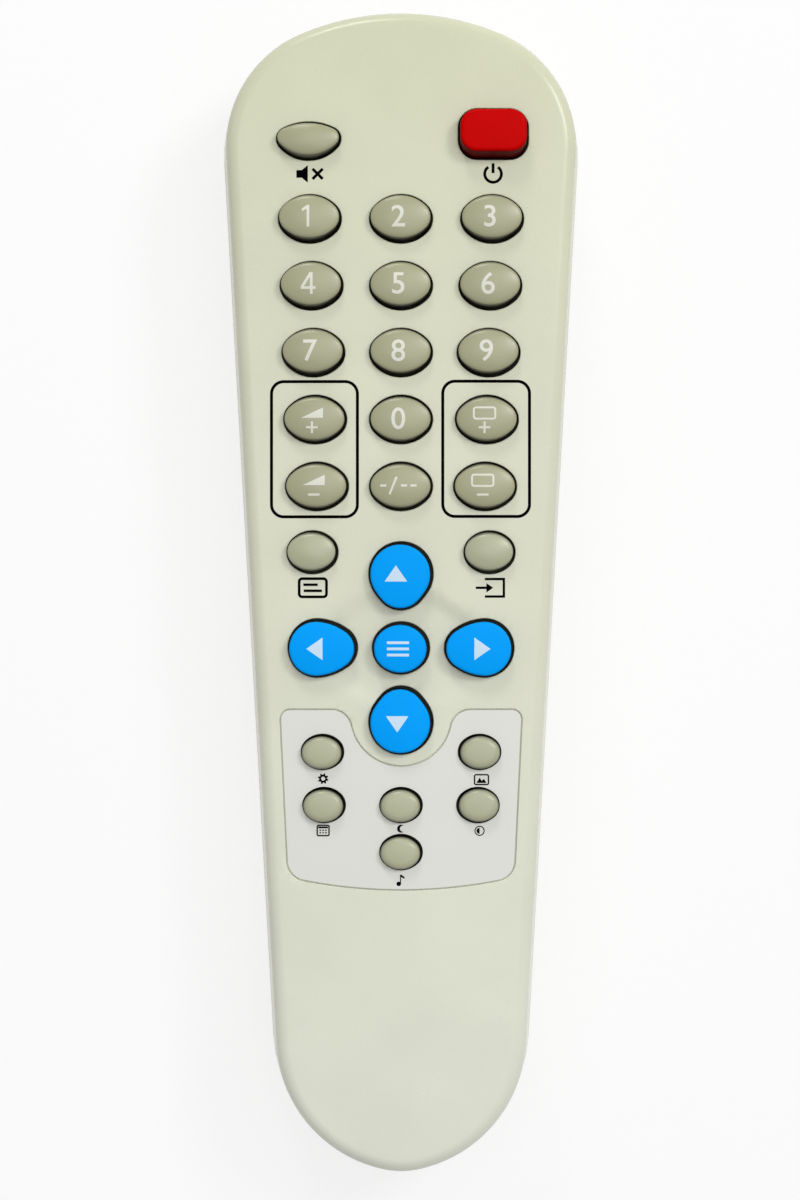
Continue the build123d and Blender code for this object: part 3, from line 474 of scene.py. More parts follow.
def panel_label_plan():
    """Plan of the label: its corner arcs' centres lie a radius in from the lines and arcs that they touch."""
    tilt = np.radians(PANEL_TAPER)
    out = np.array([np.cos(tilt), -np.sin(tilt)])
    down = np.array([-np.sin(tilt), -np.cos(tilt)])
    top_x = PANEL_HALF - PANEL_TOP_CORNER * (1 + np.sin(tilt)) / np.cos(tilt)
    top_y = PANEL_TOP - PANEL_TOP_CORNER
    base = (PANEL_HALF, PANEL_TOP) - PANEL_LOW_CORNER * out
    bow_y = PANEL_END + PANEL_BOW
    from_bow = base - (0.0, bow_y)
    terms = [1.0, 2 * from_bow @ down, from_bow @ from_bow - (PANEL_BOW - PANEL_LOW_CORNER) ** 2]
    low_x, low_y = base + down * np.roots(terms).max()
    fillet_y = PANEL_TOP - NOTCH_FILLET
    fillet_x = np.sqrt((NOTCH_RADIUS + NOTCH_FILLET) ** 2 - (NOTCH_Y - fillet_y) ** 2)
    meet = np.degrees(np.arctan2(fillet_y - NOTCH_Y, fillet_x))
    bowed = np.degrees(np.arctan2(low_y - bow_y, low_x))
    side = [on_arc(low_x, low_y, PANEL_LOW_CORNER, -PANEL_TAPER),
            on_arc(top_x, top_y, PANEL_TOP_CORNER, -PANEL_TAPER)]
    far_side = [on_arc(-top_x, top_y, PANEL_TOP_CORNER, 180 + PANEL_TAPER),
                on_arc(-low_x, low_y, PANEL_LOW_CORNER, 180 + PANEL_TAPER)]
    return np.concatenate([
        straight(*side, -PANEL_TAPER, 12),
        arc(top_x, top_y, PANEL_TOP_CORNER, -PANEL_TAPER, 90, 9.0),
        straight((top_x, PANEL_TOP), (fillet_x, PANEL_TOP), 90, 3),
        arc(fillet_x, fillet_y, NOTCH_FILLET, 90, 180 + meet),
        arc(0.0, NOTCH_Y, -NOTCH_RADIUS, meet, -180 - meet),
        arc(-fillet_x, fillet_y, NOTCH_FILLET, -meet, 90),
        straight((-fillet_x, PANEL_TOP), (-top_x, PANEL_TOP), 90, 3),
        arc(-top_x, top_y, PANEL_TOP_CORNER, 90, 180 + PANEL_TAPER, 9.0),
        straight(*far_side, 180 + PANEL_TAPER, 12),
        arc(-low_x, low_y, PANEL_LOW_CORNER, 180 + PANEL_TAPER, 180 - bowed),
        arc(0.0, bow_y, PANEL_BOW, -180 - bowed, bowed, 1.5),
        arc(low_x, low_y, PANEL_LOW_CORNER, bowed, -PANEL_TAPER),
    ])


panel_plan = panel_label_plan()


def speckle(add, place, size, detail, roughness=0.5):
    """Output of a noise whose spots are about this many millimetres wide."""
    values = {"Vector": place, "Scale": 1 / (size * MM), "Detail": detail, "Roughness": roughness}
    return add("ShaderNodeTexNoise", values).outputs["Fac"]


def moulded(name, colour, roughness=0.5, grain=0.35, depth=0.006, mottle=0.03, shine=0.35, painted_light_end_colour=None,
            flank=1.0):
    """Moulded plastic or rubber. A fine noise, grain mm wide and depth mm deep, is its texture and varies its
    sheen; a broad one lightens and darkens the colour a little, as handling does. With a painted light end
    colour, the colour turns to it from the infrared end to the other: painted light, lighter at the nose end
    that the lamps light less. Where the surface stands upright, the colour is multiplied by flank: painted
    shade on the sides of keys, which stand in the dark gaps of their holes."""
    material = bpy.data.materials.new(name)
    add = node_maker(material)
    place = add("ShaderNodeTexCoord").outputs["Object"]
    fine = speckle(add, place, grain, 3.0, 0.6)
    bump = add("ShaderNodeBump", {"Height": fine, "Strength": 1.0, "Distance": depth * MM})
    length_way = add("ShaderNodeSeparateXYZ", {0: place}).outputs["Y"]
    # Painted light: the colour turns lighter towards the nose end, which the lamps light less
    base = add("ShaderNodeMix", {
        "Factor": ranged(add, length_way, 0.0, 1.0, END_Y * MM, -END_Y * MM), "A": linear(*colour),
        "B": linear(*(painted_light_end_colour or colour))}, data_type="RGBA")
    handled = ranged(add, speckle(add, place, 16, 4.0), 1 - mottle, 1 + mottle, 0.3, 0.7)
    # Painted shade: upright faces are darkened by flank, as the sides of keys that stand in their narrow gaps
    upright = add("ShaderNodeSeparateXYZ", {0: add("ShaderNodeNewGeometry").outputs["Normal"]}).outputs["Z"]
    painted_flank_shade = ranged(add, upright, flank, 1.0, 0.2, 0.8)
    level = add("ShaderNodeMath", {0: handled, 1: painted_flank_shade}, operation="MULTIPLY").outputs[0]
    shade = add("ShaderNodeVectorMath", {0: base.outputs["Result"], "Scale": level}, operation="SCALE")
    plastic = add("ShaderNodeBsdfPrincipled", {
        "Base Color": shade.outputs[0], "Roughness": ranged(add, fine, roughness - 0.06, roughness + 0.06),
        "Specular IOR Level": shine, "Normal": bump.outputs["Normal"]})
    add("ShaderNodeOutputMaterial", {0: plastic.outputs[0]})
    return material


# Painted light: the case plastic turns lighter towards the nose end, which the lamps light less
cream_plastic = moulded("cream_plastic", (206, 208, 179), 0.26, depth=0.003, painted_light_end_colour=(226, 228, 213))
# Painted shade: a near-black material for the key hole walls below their lips, where the narrow gaps lie in
# shade
painted_gap_shade = moulded("painted_gap_shade", (14, 13, 10), 0.8, shine=0.0)
ceiling = FACE_Z - WALL
profile = [(WALL + FACE_DRAFT, ceiling), (WALL, PART_Z), (WALL, PART_Z - TONGUE_DEPTH)]
profile += [(TONGUE_INSET, PART_Z - TONGUE_DEPTH), (TONGUE_INSET, PART_Z)]
profile += [(PARTING_EDGE, PART_Z), (0.0, PART_Z + PARTING_EDGE)]
rise = FACE_Z - FACE_EDGE - PART_Z
profile += [(FACE_DRAFT * share, PART_Z + rise * share) for share in (0.25, 0.5, 0.75)]
profile += round_edge(FACE_DRAFT + FACE_EDGE, FACE_Z - FACE_EDGE, FACE_EDGE, 0, 90, 10)
loops = {name: ring(plan) + place for name, (plan, place, _) in keys.items()}
face_keys = [name for name in keys if name not in small_keys]
patches = [skin(wall(case_plan, profile))]
face_loops = [ring(case_plan, FACE_DRAFT + FACE_EDGE), ring(panel_plan, -RECESS_EDGE)]
face_loops += [ring(keys[name][0], -HOLE_EDGE) + keys[name][1] for name in face_keys]
patches.append(filled(face_loops, FACE_Z, MESH_SPACING))
lip = round_edge(-HOLE_EDGE, FACE_Z - HOLE_EDGE, HOLE_EDGE, 90, 180, 4)
for name in face_keys:
    patches.append(skin(wall(keys[name][0], lip, keys[name][1])))
    # The wall below the lip takes the painted gap shade
    patches.append(skin(wall(keys[name][0], [lip[-1], (0.0, ceiling)], keys[name][1]), 1))
lip = round_edge(-RECESS_EDGE, FACE_Z - RECESS_EDGE, RECESS_EDGE, 90, 180, 3)
recess_z = FACE_Z - LABEL_DEPTH
patches.append(skin(wall(panel_plan, lip + [(0.0, recess_z)])))
small_loops = [loops[name] for name in small_keys]
patches.append(filled([ring(panel_plan)] + small_loops, recess_z, MESH_SPACING))
# The small keys' hole walls under the label take the painted gap shade
for name, place in small_keys.items():
    patches.append(skin(wall(small_plan, [(0.0, recess_z), (0.0, ceiling)], place), 1))
patches.append(filled([ring(case_plan, WALL + FACE_DRAFT), *loops.values()], ceiling, 4 * MESH_SPACING, -1))
patches = [(settled(points), *rest) for points, *rest in patches]
upper_case = joined("upper_case", patches, cream_plastic, painted_gap_shade)


def evaluated_mesh(thing):
    """Mesh of an object as its modifiers or the settings of its curve make it."""
    bpy.context.view_layer.update()
    return bpy.data.meshes.new_from_object(thing.evaluated_get(bpy.context.evaluated_depsgraph_get()))


def bored(piece, radius, end, start):
    """Cuts a round hole along Y through a piece at the parting plane, from one Y to another."""
    count = 60
    turn = np.radians(np.arange(count) * 360 / count)
    rim = np.column_stack([radius * np.cos(turn), 0 * turn, PART_Z + radius * np.sin(turn)])
    points, faces, _ = skin(np.stack([rim + (0, end, 0), rim + (0, start, 0)]))
    caps = [list(range(count))[::-1], list(range(count, 2 * count))]
    mesh = bpy.data.meshes.new("cutter")
    mesh.from_pydata(points * MM, [], faces.tolist() + caps)
    cutter = placed("cutter", mesh)
    cut = piece.modifiers.new("bore", "BOOLEAN")
    cut.object = cutter
    cut.operation = "DIFFERENCE"
    cut.solver = "EXACT"
    whole = evaluated_mesh(piece)
    piece.modifiers.clear()
    piece.data = whole
    bpy.data.objects.remove(cutter)


bored(upper_case, LAMP_HOLE_RADIUS, END_Y + BORE_OUTSIDE, END_Y - BORE_INSIDE)
even_shading(upper_case)
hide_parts("top_shell")
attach(upper_case, "case")

# Keys
# Silicone rubber keys moulded in their colours. Each is a column through its hole, with a soft edge and a
# slightly domed top, and an oval plunger below that the mat's opening lets through. The power key is the
# tallest. A look holds the radius of the edge, the rise of the dome and how far the sides draw and lean in.
KEY_GAP = 0.3
COLUMN_Z = 19.4
PLUNGER_Z = 18.3
PLUNGER_HALF = (1.8, 1.3)
GREY_LOOK = dict(edge=0.5, dome=0.7, draft=0.0, lean=0.34)
POWER_LOOK = dict(edge=0.55, dome=0.2, draft=0.05, lean=0.42)
BLUE_LOOK = dict(edge=0.42, dome=0.34, draft=0.0, gap=0.4)
SMALL_LOOK = dict(edge=0.95, dome=0.2, draft=0.0)

# The flank values paint shade on the keys' upright sides, which stand in the dark gaps of their holes
grey_rubber = moulded("grey_rubber", (156, 156, 123), 0.34, grain=0.2, depth=0.004, shine=0.65, flank=0.06)
pale_rubber = moulded("pale_rubber", (169, 171, 141), 0.34, grain=0.2, depth=0.004, shine=0.65, flank=0.06)
red_rubber = moulded("red_rubber", (197, 0, 0), 0.4, grain=0.2, depth=0.003, shine=0.03, flank=0.16)
blue_rubber = moulded("blue_rubber", (0, 162, 255), 0.45, grain=0.2, depth=0.004, shine=0.04, flank=0.08)
# The look, the rubber and the record's slot of every key
kinds = dict.fromkeys(keys, (GREY_LOOK, grey_rubber, "key_grey"))
kinds.update(dict.fromkeys(("display", "tv_video"), (GREY_LOOK, pale_rubber, "key_pale")))
kinds.update(dict.fromkeys(small_keys, (SMALL_LOOK, pale_rubber, "key_pale")))
kinds.update(dict.fromkeys(("up", "down", "left", "right", "menu"), (BLUE_LOOK, blue_rubber, "key_blue")))
kinds["power"] = (POWER_LOOK, red_rubber, "key_red")
# How far each key sits off the middle of its hole, as the mat was laid in: the same for all keys above a line
seat_lines = ((30.0, (-0.08, 0.16)), (10.0, (-0.08, 0.05)), (5.0, (-0.13, 0.08)), (-END_Y, (-0.13, -0.1)))
seats = {}
for name, (_, (_, y), _) in keys.items():
    seats[name] = next(seat for line, seat in seat_lines if y > line)
seats.update(picture_mode=(0.12, 0.0), pic=(0.08, -0.05), power=(-0.05, 0.08), mute=(-0.05, 0.05))


def domed(x, y, name, dome):
    """How far a key's top lies below its middle: the squares of the shares of the way out, added up."""
    plan, place, _ = keys[name]
    centre_x, centre_y = np.array(place) + seats[name]
    half_x, half_y = np.abs(ring(plan, KEY_GAP)).max(axis=0)
    return dome * (((x - centre_x) / half_x) ** 2 + ((y - centre_y) / half_y) ** 2)


def drawn_in(loop, levels, middle=0.0):
    """Grid of a loop at each (share, height) level. The share draws the loop in towards its middle."""
    shrunk = [middle + (loop - middle) * share for share, _ in levels]
    return np.stack([np.column_stack([row, np.full(len(row), z)]) for row, (_, z) in zip(shrunk, levels)])


def key_points(name, edge, dome, draft, lean=0.0, gap=KEY_GAP):
    """Grid of a key from the middle of its plunger to the middle of its top: the plunger's oval, the column's
    plan with a rounded edge, then that edge drawn in to a point over the dome. The two long sides lean in by
    the lean, in millimetres, over the height that stands above the face."""
    plan, place, rise = keys[name]
    top = FACE_Z + rise
    profile = [(gap, COLUMN_Z), (gap + 0.4 * draft, FACE_Z)]
    profile += round_edge(gap + draft + edge, top - edge, edge, 0, 90, 7)
    rows = wall(plan, profile)
    share = np.clip((rows[..., 2] - FACE_Z) / rise, 0.0, 1.0)
    rows[..., 1] *= 1 - lean * share / rows[..., 1].max()
    under = drawn_in(plan[:, 3:] * PLUNGER_HALF, ((0.0, PLUNGER_Z), (1.0, PLUNGER_Z), (1.0, COLUMN_Z)))
    over = [rows[-1] * (share, share, 1.0) for share in (0.88, 0.74, 0.58, 0.42, 0.26, 0.12, 0.0)]
    points = np.concatenate([under, rows, np.stack(over)])
    points[..., :2] += np.array(place) + seats[name]
    share = np.clip((points[..., 2] - FACE_Z) / rise, 0.0, 1.0)
    points[..., 2] -= domed(points[..., 0], points[..., 1], name, dome) * share**2
    return points


for name, (look, rubber, slot) in kinds.items():
    key = joined("rubber_" + name, [skin(key_points(name, **look))], rubber)
    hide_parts("key_" + name)
    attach(key, "button_" + name)

# Panel label
# A die-cut sheet of light grey plastic film, a little over 0.4 mm thick, glued in the recess of the case. It
# has holes for the six small keys, and follows the slight crown of the face.
LABEL_TOP = FACE_Z - 0.05
LABEL_UNDER = recess_z + 0.02
LABEL_EDGE = 0.06
label_film = moulded("label_film", (223, 224, 217), 0.38, grain=0.5, depth=0.003, mottle=0.015)
holes = [ring(small_plan) + place for place in small_keys.values()]
rim = [(LABEL_GAP, LABEL_UNDER), (LABEL_GAP, LABEL_TOP - LABEL_EDGE), (LABEL_GAP + LABEL_EDGE, LABEL_TOP)]
patches = [skin(wall(panel_plan, rim))]
patches.append(filled([ring(panel_plan, LABEL_GAP + LABEL_EDGE)] + holes, LABEL_TOP, MESH_SPACING))
patches.append(filled([ring(panel_plan, LABEL_GAP)] + holes, LABEL_UNDER, 2 * MESH_SPACING, -1))
for place in small_keys.values():
    patches.append(skin(wall(small_plan, [(0.0, LABEL_TOP), (0.0, LABEL_UNDER)], place)))
label = joined("label_sheet", [(settled(points), *rest) for points, *rest in patches], label_film)
even_shading(label)
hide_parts("panel_label")
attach(label, "case")

# Printed marks
# Screen print: light marks on the keys, and black frames and symbols on the face and the label. Each mark is
# a thin plate of ink that follows the surface under it.
INK = 0.02
KEY_STEP = 0.45
FACE_STEP = 2.0
MARK_SHIFT = -0.35
LINE = 0.47
DIGIT_SIZE = 4.7
DIGIT_WEIGHT = 0.04
FACE_SYMBOL = 1.18

light_ink = moulded("light_ink", (222, 222, 210), grain=0.15, depth=0.002, shine=0.2)
sky_ink = moulded("sky_ink", (204, 228, 248), grain=0.15, depth=0.002, shine=0.2)
black_ink = moulded("black_ink", (5, 5, 5), 0.45, grain=0.15, depth=0.002, shine=0.0)


def stroke(points, width):
    """Loop of a line of even width along points: each point moves along the mean of its two sides' normals,
    divided by how much of that mean lies across the line."""
    points = np.array(points, float)
    ways = np.diff(points, axis=0)
    ways /= np.linalg.norm(ways, axis=1)[:, None]
    behind, ahead = np.concatenate([ways[:1], ways]), np.concatenate([ways, ways[-1:]])
    mean = ahead + behind
    across = np.column_stack([-mean[:, 1], mean[:, 0]])
    across /= (across[:, 0] * -behind[:, 1] + across[:, 1] * behind[:, 0])[:, None]
    left, right = points + across * width / 2, points - across * width / 2
    return np.concatenate([left, right[::-1]])


def plus(size, width, turn=0.0):
    """Loop of an upright cross, turned by an angle in degrees."""
    far, near = size / 2, width / 2
    corner = np.array([(near, far), (near, near), (far, near)])
    loop = np.concatenate([corner, corner[::-1] * (1, -1), corner * (-1, -1), corner[::-1] * (-1, 1)])
    return loop @ turning(turn)


def bar(x, y, length, width):
    """Loop of a level bar about its middle."""
    return np.array([(-1, -1), (1, -1), (1, 1), (-1, 1)]) * (length / 2, width / 2) + (x, y)


def frame_line(length, width, corner, line):
    """Two loops of a frame with round corners, about its middle."""
    plan = box_plan(length, width, corner)
    return [ring(plan, -line / 2), ring(plan, line / 2)]


def circle(x, y, radius):
    """Loop of a circle."""
    return ring(arc(x, y, radius, 0, 360, 9.0))


def flat_marks(loops):
    """Flat mesh filled between loops, from a flat curve."""
    curve = bpy.data.curves.new("marks", "CURVE")
    curve.dimensions = "2D"
    curve.fill_mode = "BOTH"
    for loop in loops:
        spline = curve.splines.new("POLY")
        spline.points.add(len(loop) - 1)
        flat = np.column_stack([loop, np.zeros(len(loop)), np.ones(len(loop))])
        spline.points.foreach_set("co", flat.ravel())
        spline.use_cyclic_u = True
    return as_mesh(curve)


def digit(text):
    """Flat mesh of a digit about its middle."""
    curve = bpy.data.curves.new("digit", "FONT")
    curve.body = text
    curve.size = DIGIT_SIZE
    curve.offset = DIGIT_WEIGHT
    curve.resolution_u = 6
    mesh = as_mesh(curve)
    points = mesh_points(mesh)
    points[:, :2] -= (points[:, :2].min(axis=0) + points[:, :2].max(axis=0)) / 2
    mesh.vertices.foreach_set("co", points.ravel())
    return mesh


def as_mesh(curve):
    """Mesh of a curve, which is then removed."""
    holder = placed("holder", curve)
    mesh = evaluated_mesh(holder)
    bpy.data.objects.remove(holder)
    return mesh


def mesh_points(mesh):
    """The places of a mesh's points, a row for each."""
    points = np.zeros(3 * len(mesh.vertices))
    mesh.vertices.foreach_get("co", points)
    return points.reshape(-1, 3)


def printed(name, marks, height, ink, step):
    """One piece of ink from (flat mesh, place) pairs. Planes a step apart cut the meshes, so that their
    points can follow the height function, and a little thickness closes them."""
    whole = bmesh.new()
    for mesh, (x, y) in marks:
        start = len(whole.verts)
        whole.from_mesh(mesh)
        bmesh.ops.translate(whole, verts=list(whole.verts)[start:], vec=(x, y, 0.0))
        bpy.data.meshes.remove(mesh)
    bmesh.ops.remove_doubles(whole, verts=whole.verts, dist=2 * MERGE)
    places = np.array([vertex.co[:2] for vertex in whole.verts])
    for axis, normal in enumerate(((1, 0, 0), (0, 1, 0))):
        for cut in np.arange(places[:, axis].min() + step / 2, places[:, axis].max(), step):
            everything = list(whole.verts) + list(whole.edges) + list(whole.faces)
            bmesh.ops.bisect_plane(whole, geom=everything, plane_co=np.array(normal) * cut, plane_no=normal)
    mesh = bpy.data.meshes.new(name)
    whole.to_mesh(mesh)
    whole.free()
    points = mesh_points(mesh)
    points[:, 2] = height(points[:, 0], points[:, 1])
    mesh.vertices.foreach_set("co", (points * MM).ravel())
    piece = new_object(name, mesh, ink, smooth=False)
    plate = piece.modifiers.new("ink", "SOLIDIFY")
    plate.thickness = 2 * INK * MM
    plate.offset = 0.0
    return piece


def key_print(name, marks, ink):
    """Ink on one key, with places from the key's middle."""
    _, place, rise = keys[name]
    look, _, slot = kinds[name]
    marks = [(mesh, np.array(place) + seats[name] + shift) for mesh, shift in marks]

    def key_top(x, y):
        """Height of the key's top: the face and the key's rise, less the fall of its dome."""
        return FACE_Z + rise - domed(x, y, name, look["dome"])

    ink_piece = printed("mark_" + name, marks, key_top, ink, KEY_STEP)
    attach(ink_piece, "button_" + name)


def face_print(name, loops, places, top=FACE_Z):
    """Black ink on the face or the label."""
    marks = [(flat_marks(group), place) for group, place in zip(loops, places)]
    piece = printed(name, marks, lambda x, y: top - FACE_Z + face_height(x, y), black_ink, FACE_STEP)
    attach(piece, "case")


for name in "02356789":
    key_print(name, [(digit(name), (MARK_SHIFT, 0.0))], light_ink)
one = np.array([(0.42, -1.68), (0.42, 1.68), (0.08, 1.68), (-0.72, 1.12), (-0.72, 0.68), (0.0, 1.05),
                (0.0, -1.68)])
key_print("1", [(flat_marks([one]), (MARK_SHIFT, 0.0))], light_ink)
four = [np.array([(0.24, -1.68), (0.66, -1.68), (0.66, -0.92), (1.12, -0.92), (1.12, -0.52), (0.66, -0.52),
                  (0.66, 1.68), (0.16, 1.68), (-1.16, -0.5), (-1.16, -0.92), (0.24, -0.92)]),
        np.array([(0.24, -0.52), (0.24, 0.98), (-0.68, -0.52)])]
key_print("4", [(flat_marks(four), (MARK_SHIFT, 0.0))], light_ink)
wedge = [np.array([(-1.7, -0.75), (1.7, -0.75), (1.7, 0.85)])]
screen = frame_line(3.3, 1.75, 0.35, 0.3)
for name, symbol in (("volume", wedge), ("channel", screen)):
    for way, sign in (("_up", plus(1.8, 0.34)), ("_down", bar(0.0, 0.0, 1.8, 0.34))):
        marks = [(flat_marks(symbol), (MARK_SHIFT, 0.8)), (flat_marks([sign]), (MARK_SHIFT, -1.4))]
        key_print(name + way, marks, light_ink)
dashes = [bar(-2.3, 0.0, 0.95, 0.36), bar(0.9, 0.0, 0.95, 0.36), bar(2.35, 0.0, 0.95, 0.36)]
dashes.append(stroke([(-1.35, -1.35), (-0.25, 1.35)], 0.34))
key_print("digits", [(flat_marks(dashes), (MARK_SHIFT, 0.0))], light_ink)
pointer = np.array([(-1.75, -0.85), (1.75, -0.85), (0.0, 1.65)])
pointers = (("up", 0, (-0.67, 0.05)), ("down", 180, (-0.46, -0.05)), ("left", 90, (-0.7, 0.0)),
            ("right", -90, (0.15, 0.0)))
for name, angle, shift in pointers:
    key_print(name, [(flat_marks([pointer @ turning(angle)]), shift)], sky_ink)
bars = [bar(0.0, y, 3.4, 0.42) for y in (-0.95, 0.0, 0.95)]
key_print("menu", [(flat_marks(bars), (MARK_SHIFT, 0.0))], sky_ink)

speaker = [np.array([(-1.7, -0.5), (-1.0, -0.5), (-0.2, -1.15), (-0.2, 1.15), (-1.0, 0.5), (-1.7, 0.5)]),
           plus(1.9, 0.38, 45) + (1.1, 0.0)]
power = [stroke(ring(arc(0.0, 0.0, 1.1, 125, 424, 10.0)), 0.38), bar(0.0, 0.75, 0.38, 1.3)]
listing = frame_line(3.6, 2.4, 0.4, 0.36) + [bar(-0.3, 0.4, 1.9, 0.34), bar(0.0, -0.4, 2.4, 0.34)]
arrow = np.array([(-1.9, -0.16), (-0.5, -0.16), (-0.5, -0.62), (0.4, 0.0), (-0.5, 0.62), (-0.5, 0.16),
                  (-1.9, 0.16)])
source = [stroke([(-0.7, 1.15), (1.8, 1.15), (1.8, -1.15), (-0.7, -1.15)], 0.32), arrow]
left_frame = frame_line(13.35, 21.0, 1.9, LINE)
right_frame = frame_line(13.48, 21.0, 1.9, LINE)
loops = [[loop * FACE_SYMBOL for loop in symbol] for symbol in (speaker, power, listing, source)]
loops += [left_frame, right_frame]
places = [(-14.25, 65.0), (14.3, 65.0), (-13.7, 0.7), (13.85, 0.7), (-13.45, 22.22), (13.22, 22.28)]
face_print("face_marks", loops, places)

teeth = np.tile((0.78, 0.78, 1.08, 1.08), 8)
spread = np.radians(np.arange(32) * 11.25)
gear = [np.column_stack([np.cos(spread), np.sin(spread)]) * teeth[:, None], circle(0.0, 0.0, 0.4)]
hills = np.array([(-1.0, -0.65), (1.0, -0.65), (0.45, 0.15), (0.05, -0.25), (-0.35, 0.4)])
picture = frame_line(2.7, 1.9, 0.3, 0.27) + [hills]
calendar = frame_line(2.3, 2.0, 0.25, 0.27) + [bar(0.0, 0.6, 1.9, 0.36)]
calendar += [bar(x, y, 0.3, 0.26) for x in (-0.55, 0.0, 0.55) for y in (0.05, -0.45)]
moon = [np.concatenate([ring(arc(0.0, 0.0, 1.05, 50, 310, 10.0)), [on_arc(0.0, 0.0, 1.05, 310)],
                        ring(arc(0.525, 0.0, 0.82, 281, 79, 10.0))])]
contrast = [circle(0.0, 0.0, 1.05), circle(0.0, 0.0, 0.83),
            np.concatenate([ring(arc(0.0, 0.0, 0.62, 90, 270, 10.0)), [(0.0, -0.62)]])]
note = [np.concatenate([ring(arc(-0.45, -0.75, 0.45, 56.25, 360, 12.0)),
                        [(0.0, -0.75), (0.0, 0.6), (0.7, 0.25), (0.7, 0.65), (0.0, 1.1), (-0.2, 1.1)]])]
symbols = [(gear, 0.78, (-12.1, -28.95)), (picture, 0.8, (12.5, -29.1)), (calendar, 0.8, (-12.1, -37.0)),
           (moon, 0.58, (0.0, -36.72)), (contrast, 0.75, (12.2, -37.05)), (note, 0.78, (0.0, -44.7))]
loops = [[loop * size for loop in symbol] for symbol, size, _ in symbols]
face_print("label_marks", loops, [place for _, _, place in symbols], LABEL_TOP)

# Lower case and battery cover
# Two mouldings of the same plastic: a tray with rounded back edges, and the cover that slides off the nose on
# two rails, with grip grooves and a moulded arrow that shows which way to push.
EASED_EDGE = 0.1
FLAT_ANGLE = 0.4
SHARP_ANGLE = 35.0
COVER_ARROW = np.array([(-3.4, 0.0), (0.0, -4.4), (3.4, 0.0)])
ARROW_FROM_END = 20.5
ARROW_HEIGHT = 0.14
ARROW_SINK = 0.05
ARROW_TOP = 0.93


def eased_copy(node, name):
    """Merged copy of a CAD node's mesh, with its flat faces made whole and its sharp edges eased."""
    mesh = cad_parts[node].data.copy()
    mesh.name = name
    work = bmesh.new()
    work.from_mesh(mesh)
    bmesh.ops.remove_doubles(work, verts=work.verts, dist=MERGE * MM)
    bmesh.ops.dissolve_limit(work, angle_limit=np.radians(FLAT_ANGLE), verts=work.verts, edges=work.edges)
    work.to_mesh(mesh)
    work.free()
    piece = new_object(name, mesh, cream_plastic)
    eased = piece.modifiers.new("eased", "BEVEL")
    eased.width = EASED_EDGE * MM
    eased.segments = 2
    eased.limit_method = "ANGLE"
    eased.angle_limit = np.radians(SHARP_ANGLE)
    even_shading(piece, SHARP_ANGLE)
    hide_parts(node)
    return piece


def box_of(node):
    """Low and high corner of the box round a CAD node, in millimetres."""
    return [np.array(corner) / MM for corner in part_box(node)]


lower_case = eased_copy("bottom_shell", "lower_case")
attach(lower_case, "case")
cover = eased_copy("battery_cover", "sliding_cover")
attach(cover, "cover")
cover_low, cover_high = box_of("battery_cover")
loop = COVER_ARROW[::-1] + (0.0, cover_high[1] - ARROW_FROM_END)
middle = loop.mean(axis=0)
levels = ((0.0, ARROW_SINK), (1.0, ARROW_SINK), (1.0, 0.0), (ARROW_TOP, -ARROW_HEIGHT), (0.0, -ARROW_HEIGHT))
relief_points = drawn_in(loop, levels, middle) + (0.0, 0.0, cover_low[2])
arrow_relief = joined("cover_arrow", [skin(relief_points)], cream_plastic)
arrow_relief.data.polygons.foreach_set("use_smooth", [False] * len(arrow_relief.data.polygons))
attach(arrow_relief, "cover")

# Infrared lamp
# A round lamp cast in dark tinted resin, with a domed tip and a rim at its back. Its two leads of tinned wire
# are soldered to the board.
LAMP_RADIUS = 2.5
LAMP_DOME = 2.3
RIM_RADIUS = 2.9
RIM_LENGTH = 1.0
RIM_EDGE = 0.1


def turned(profile, place, way="Y"):
    """Patch swept round an axis through a place: each (radius, distance) pair of a profile is a circle."""
    radius, distance = np.array(profile, float).T[:, :, None]
    angle = np.radians(np.arange(0, 360, 9))
    level = distance + 0 * angle
    if way == "Y":
        points = np.stack([radius * np.sin(angle), level, radius * np.cos(angle)], axis=-1)
    else:
        points = np.stack([radius * np.cos(angle), radius * np.sin(angle), level], axis=-1)
    return skin(points + np.array(place))


def shiny(name, colour, metallic, roughness, grain, stretch=(1.0, 1.0, 1.0), wear=0.12, clear=0.0):
    """Metal, resin or glossy film: a noise, grain mm wide and stretched along the piece, varies its tone and
    its sheen and roughens it slightly."""
    material = bpy.data.materials.new(name)
    add = node_maker(material)
    place = add("ShaderNodeTexCoord").outputs["Object"]
    scaled = add("ShaderNodeMapping", {"Vector": place, "Scale": stretch}).outputs[0]
    noise = speckle(add, scaled, grain, 5.0)
    tone = np.array(linear(*colour))
    shade = add("ShaderNodeMix", {"Factor": noise, "A": (*(tone[:3] * (1 - wear)), 1.0), "B": tuple(tone)},
                data_type="RGBA")
    bump = add("ShaderNodeBump", {"Height": noise, "Strength": 0.6, "Distance": 0.004 * MM})
    surface = add("ShaderNodeBsdfPrincipled", {
        "Base Color": shade.outputs["Result"], "Metallic": metallic, "Transmission Weight": clear, "IOR": 1.5,
        "Roughness": ranged(add, noise, roughness * 0.7, roughness * 1.4), "Normal": bump.outputs["Normal"]})
    add("ShaderNodeOutputMaterial", {0: surface.outputs[0]})
    return material


def dress(material, *nodes):
    """Gives CAD nodes that stay in view a material."""
    for node in nodes:
        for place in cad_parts[node].material_slots:
            place.material = material


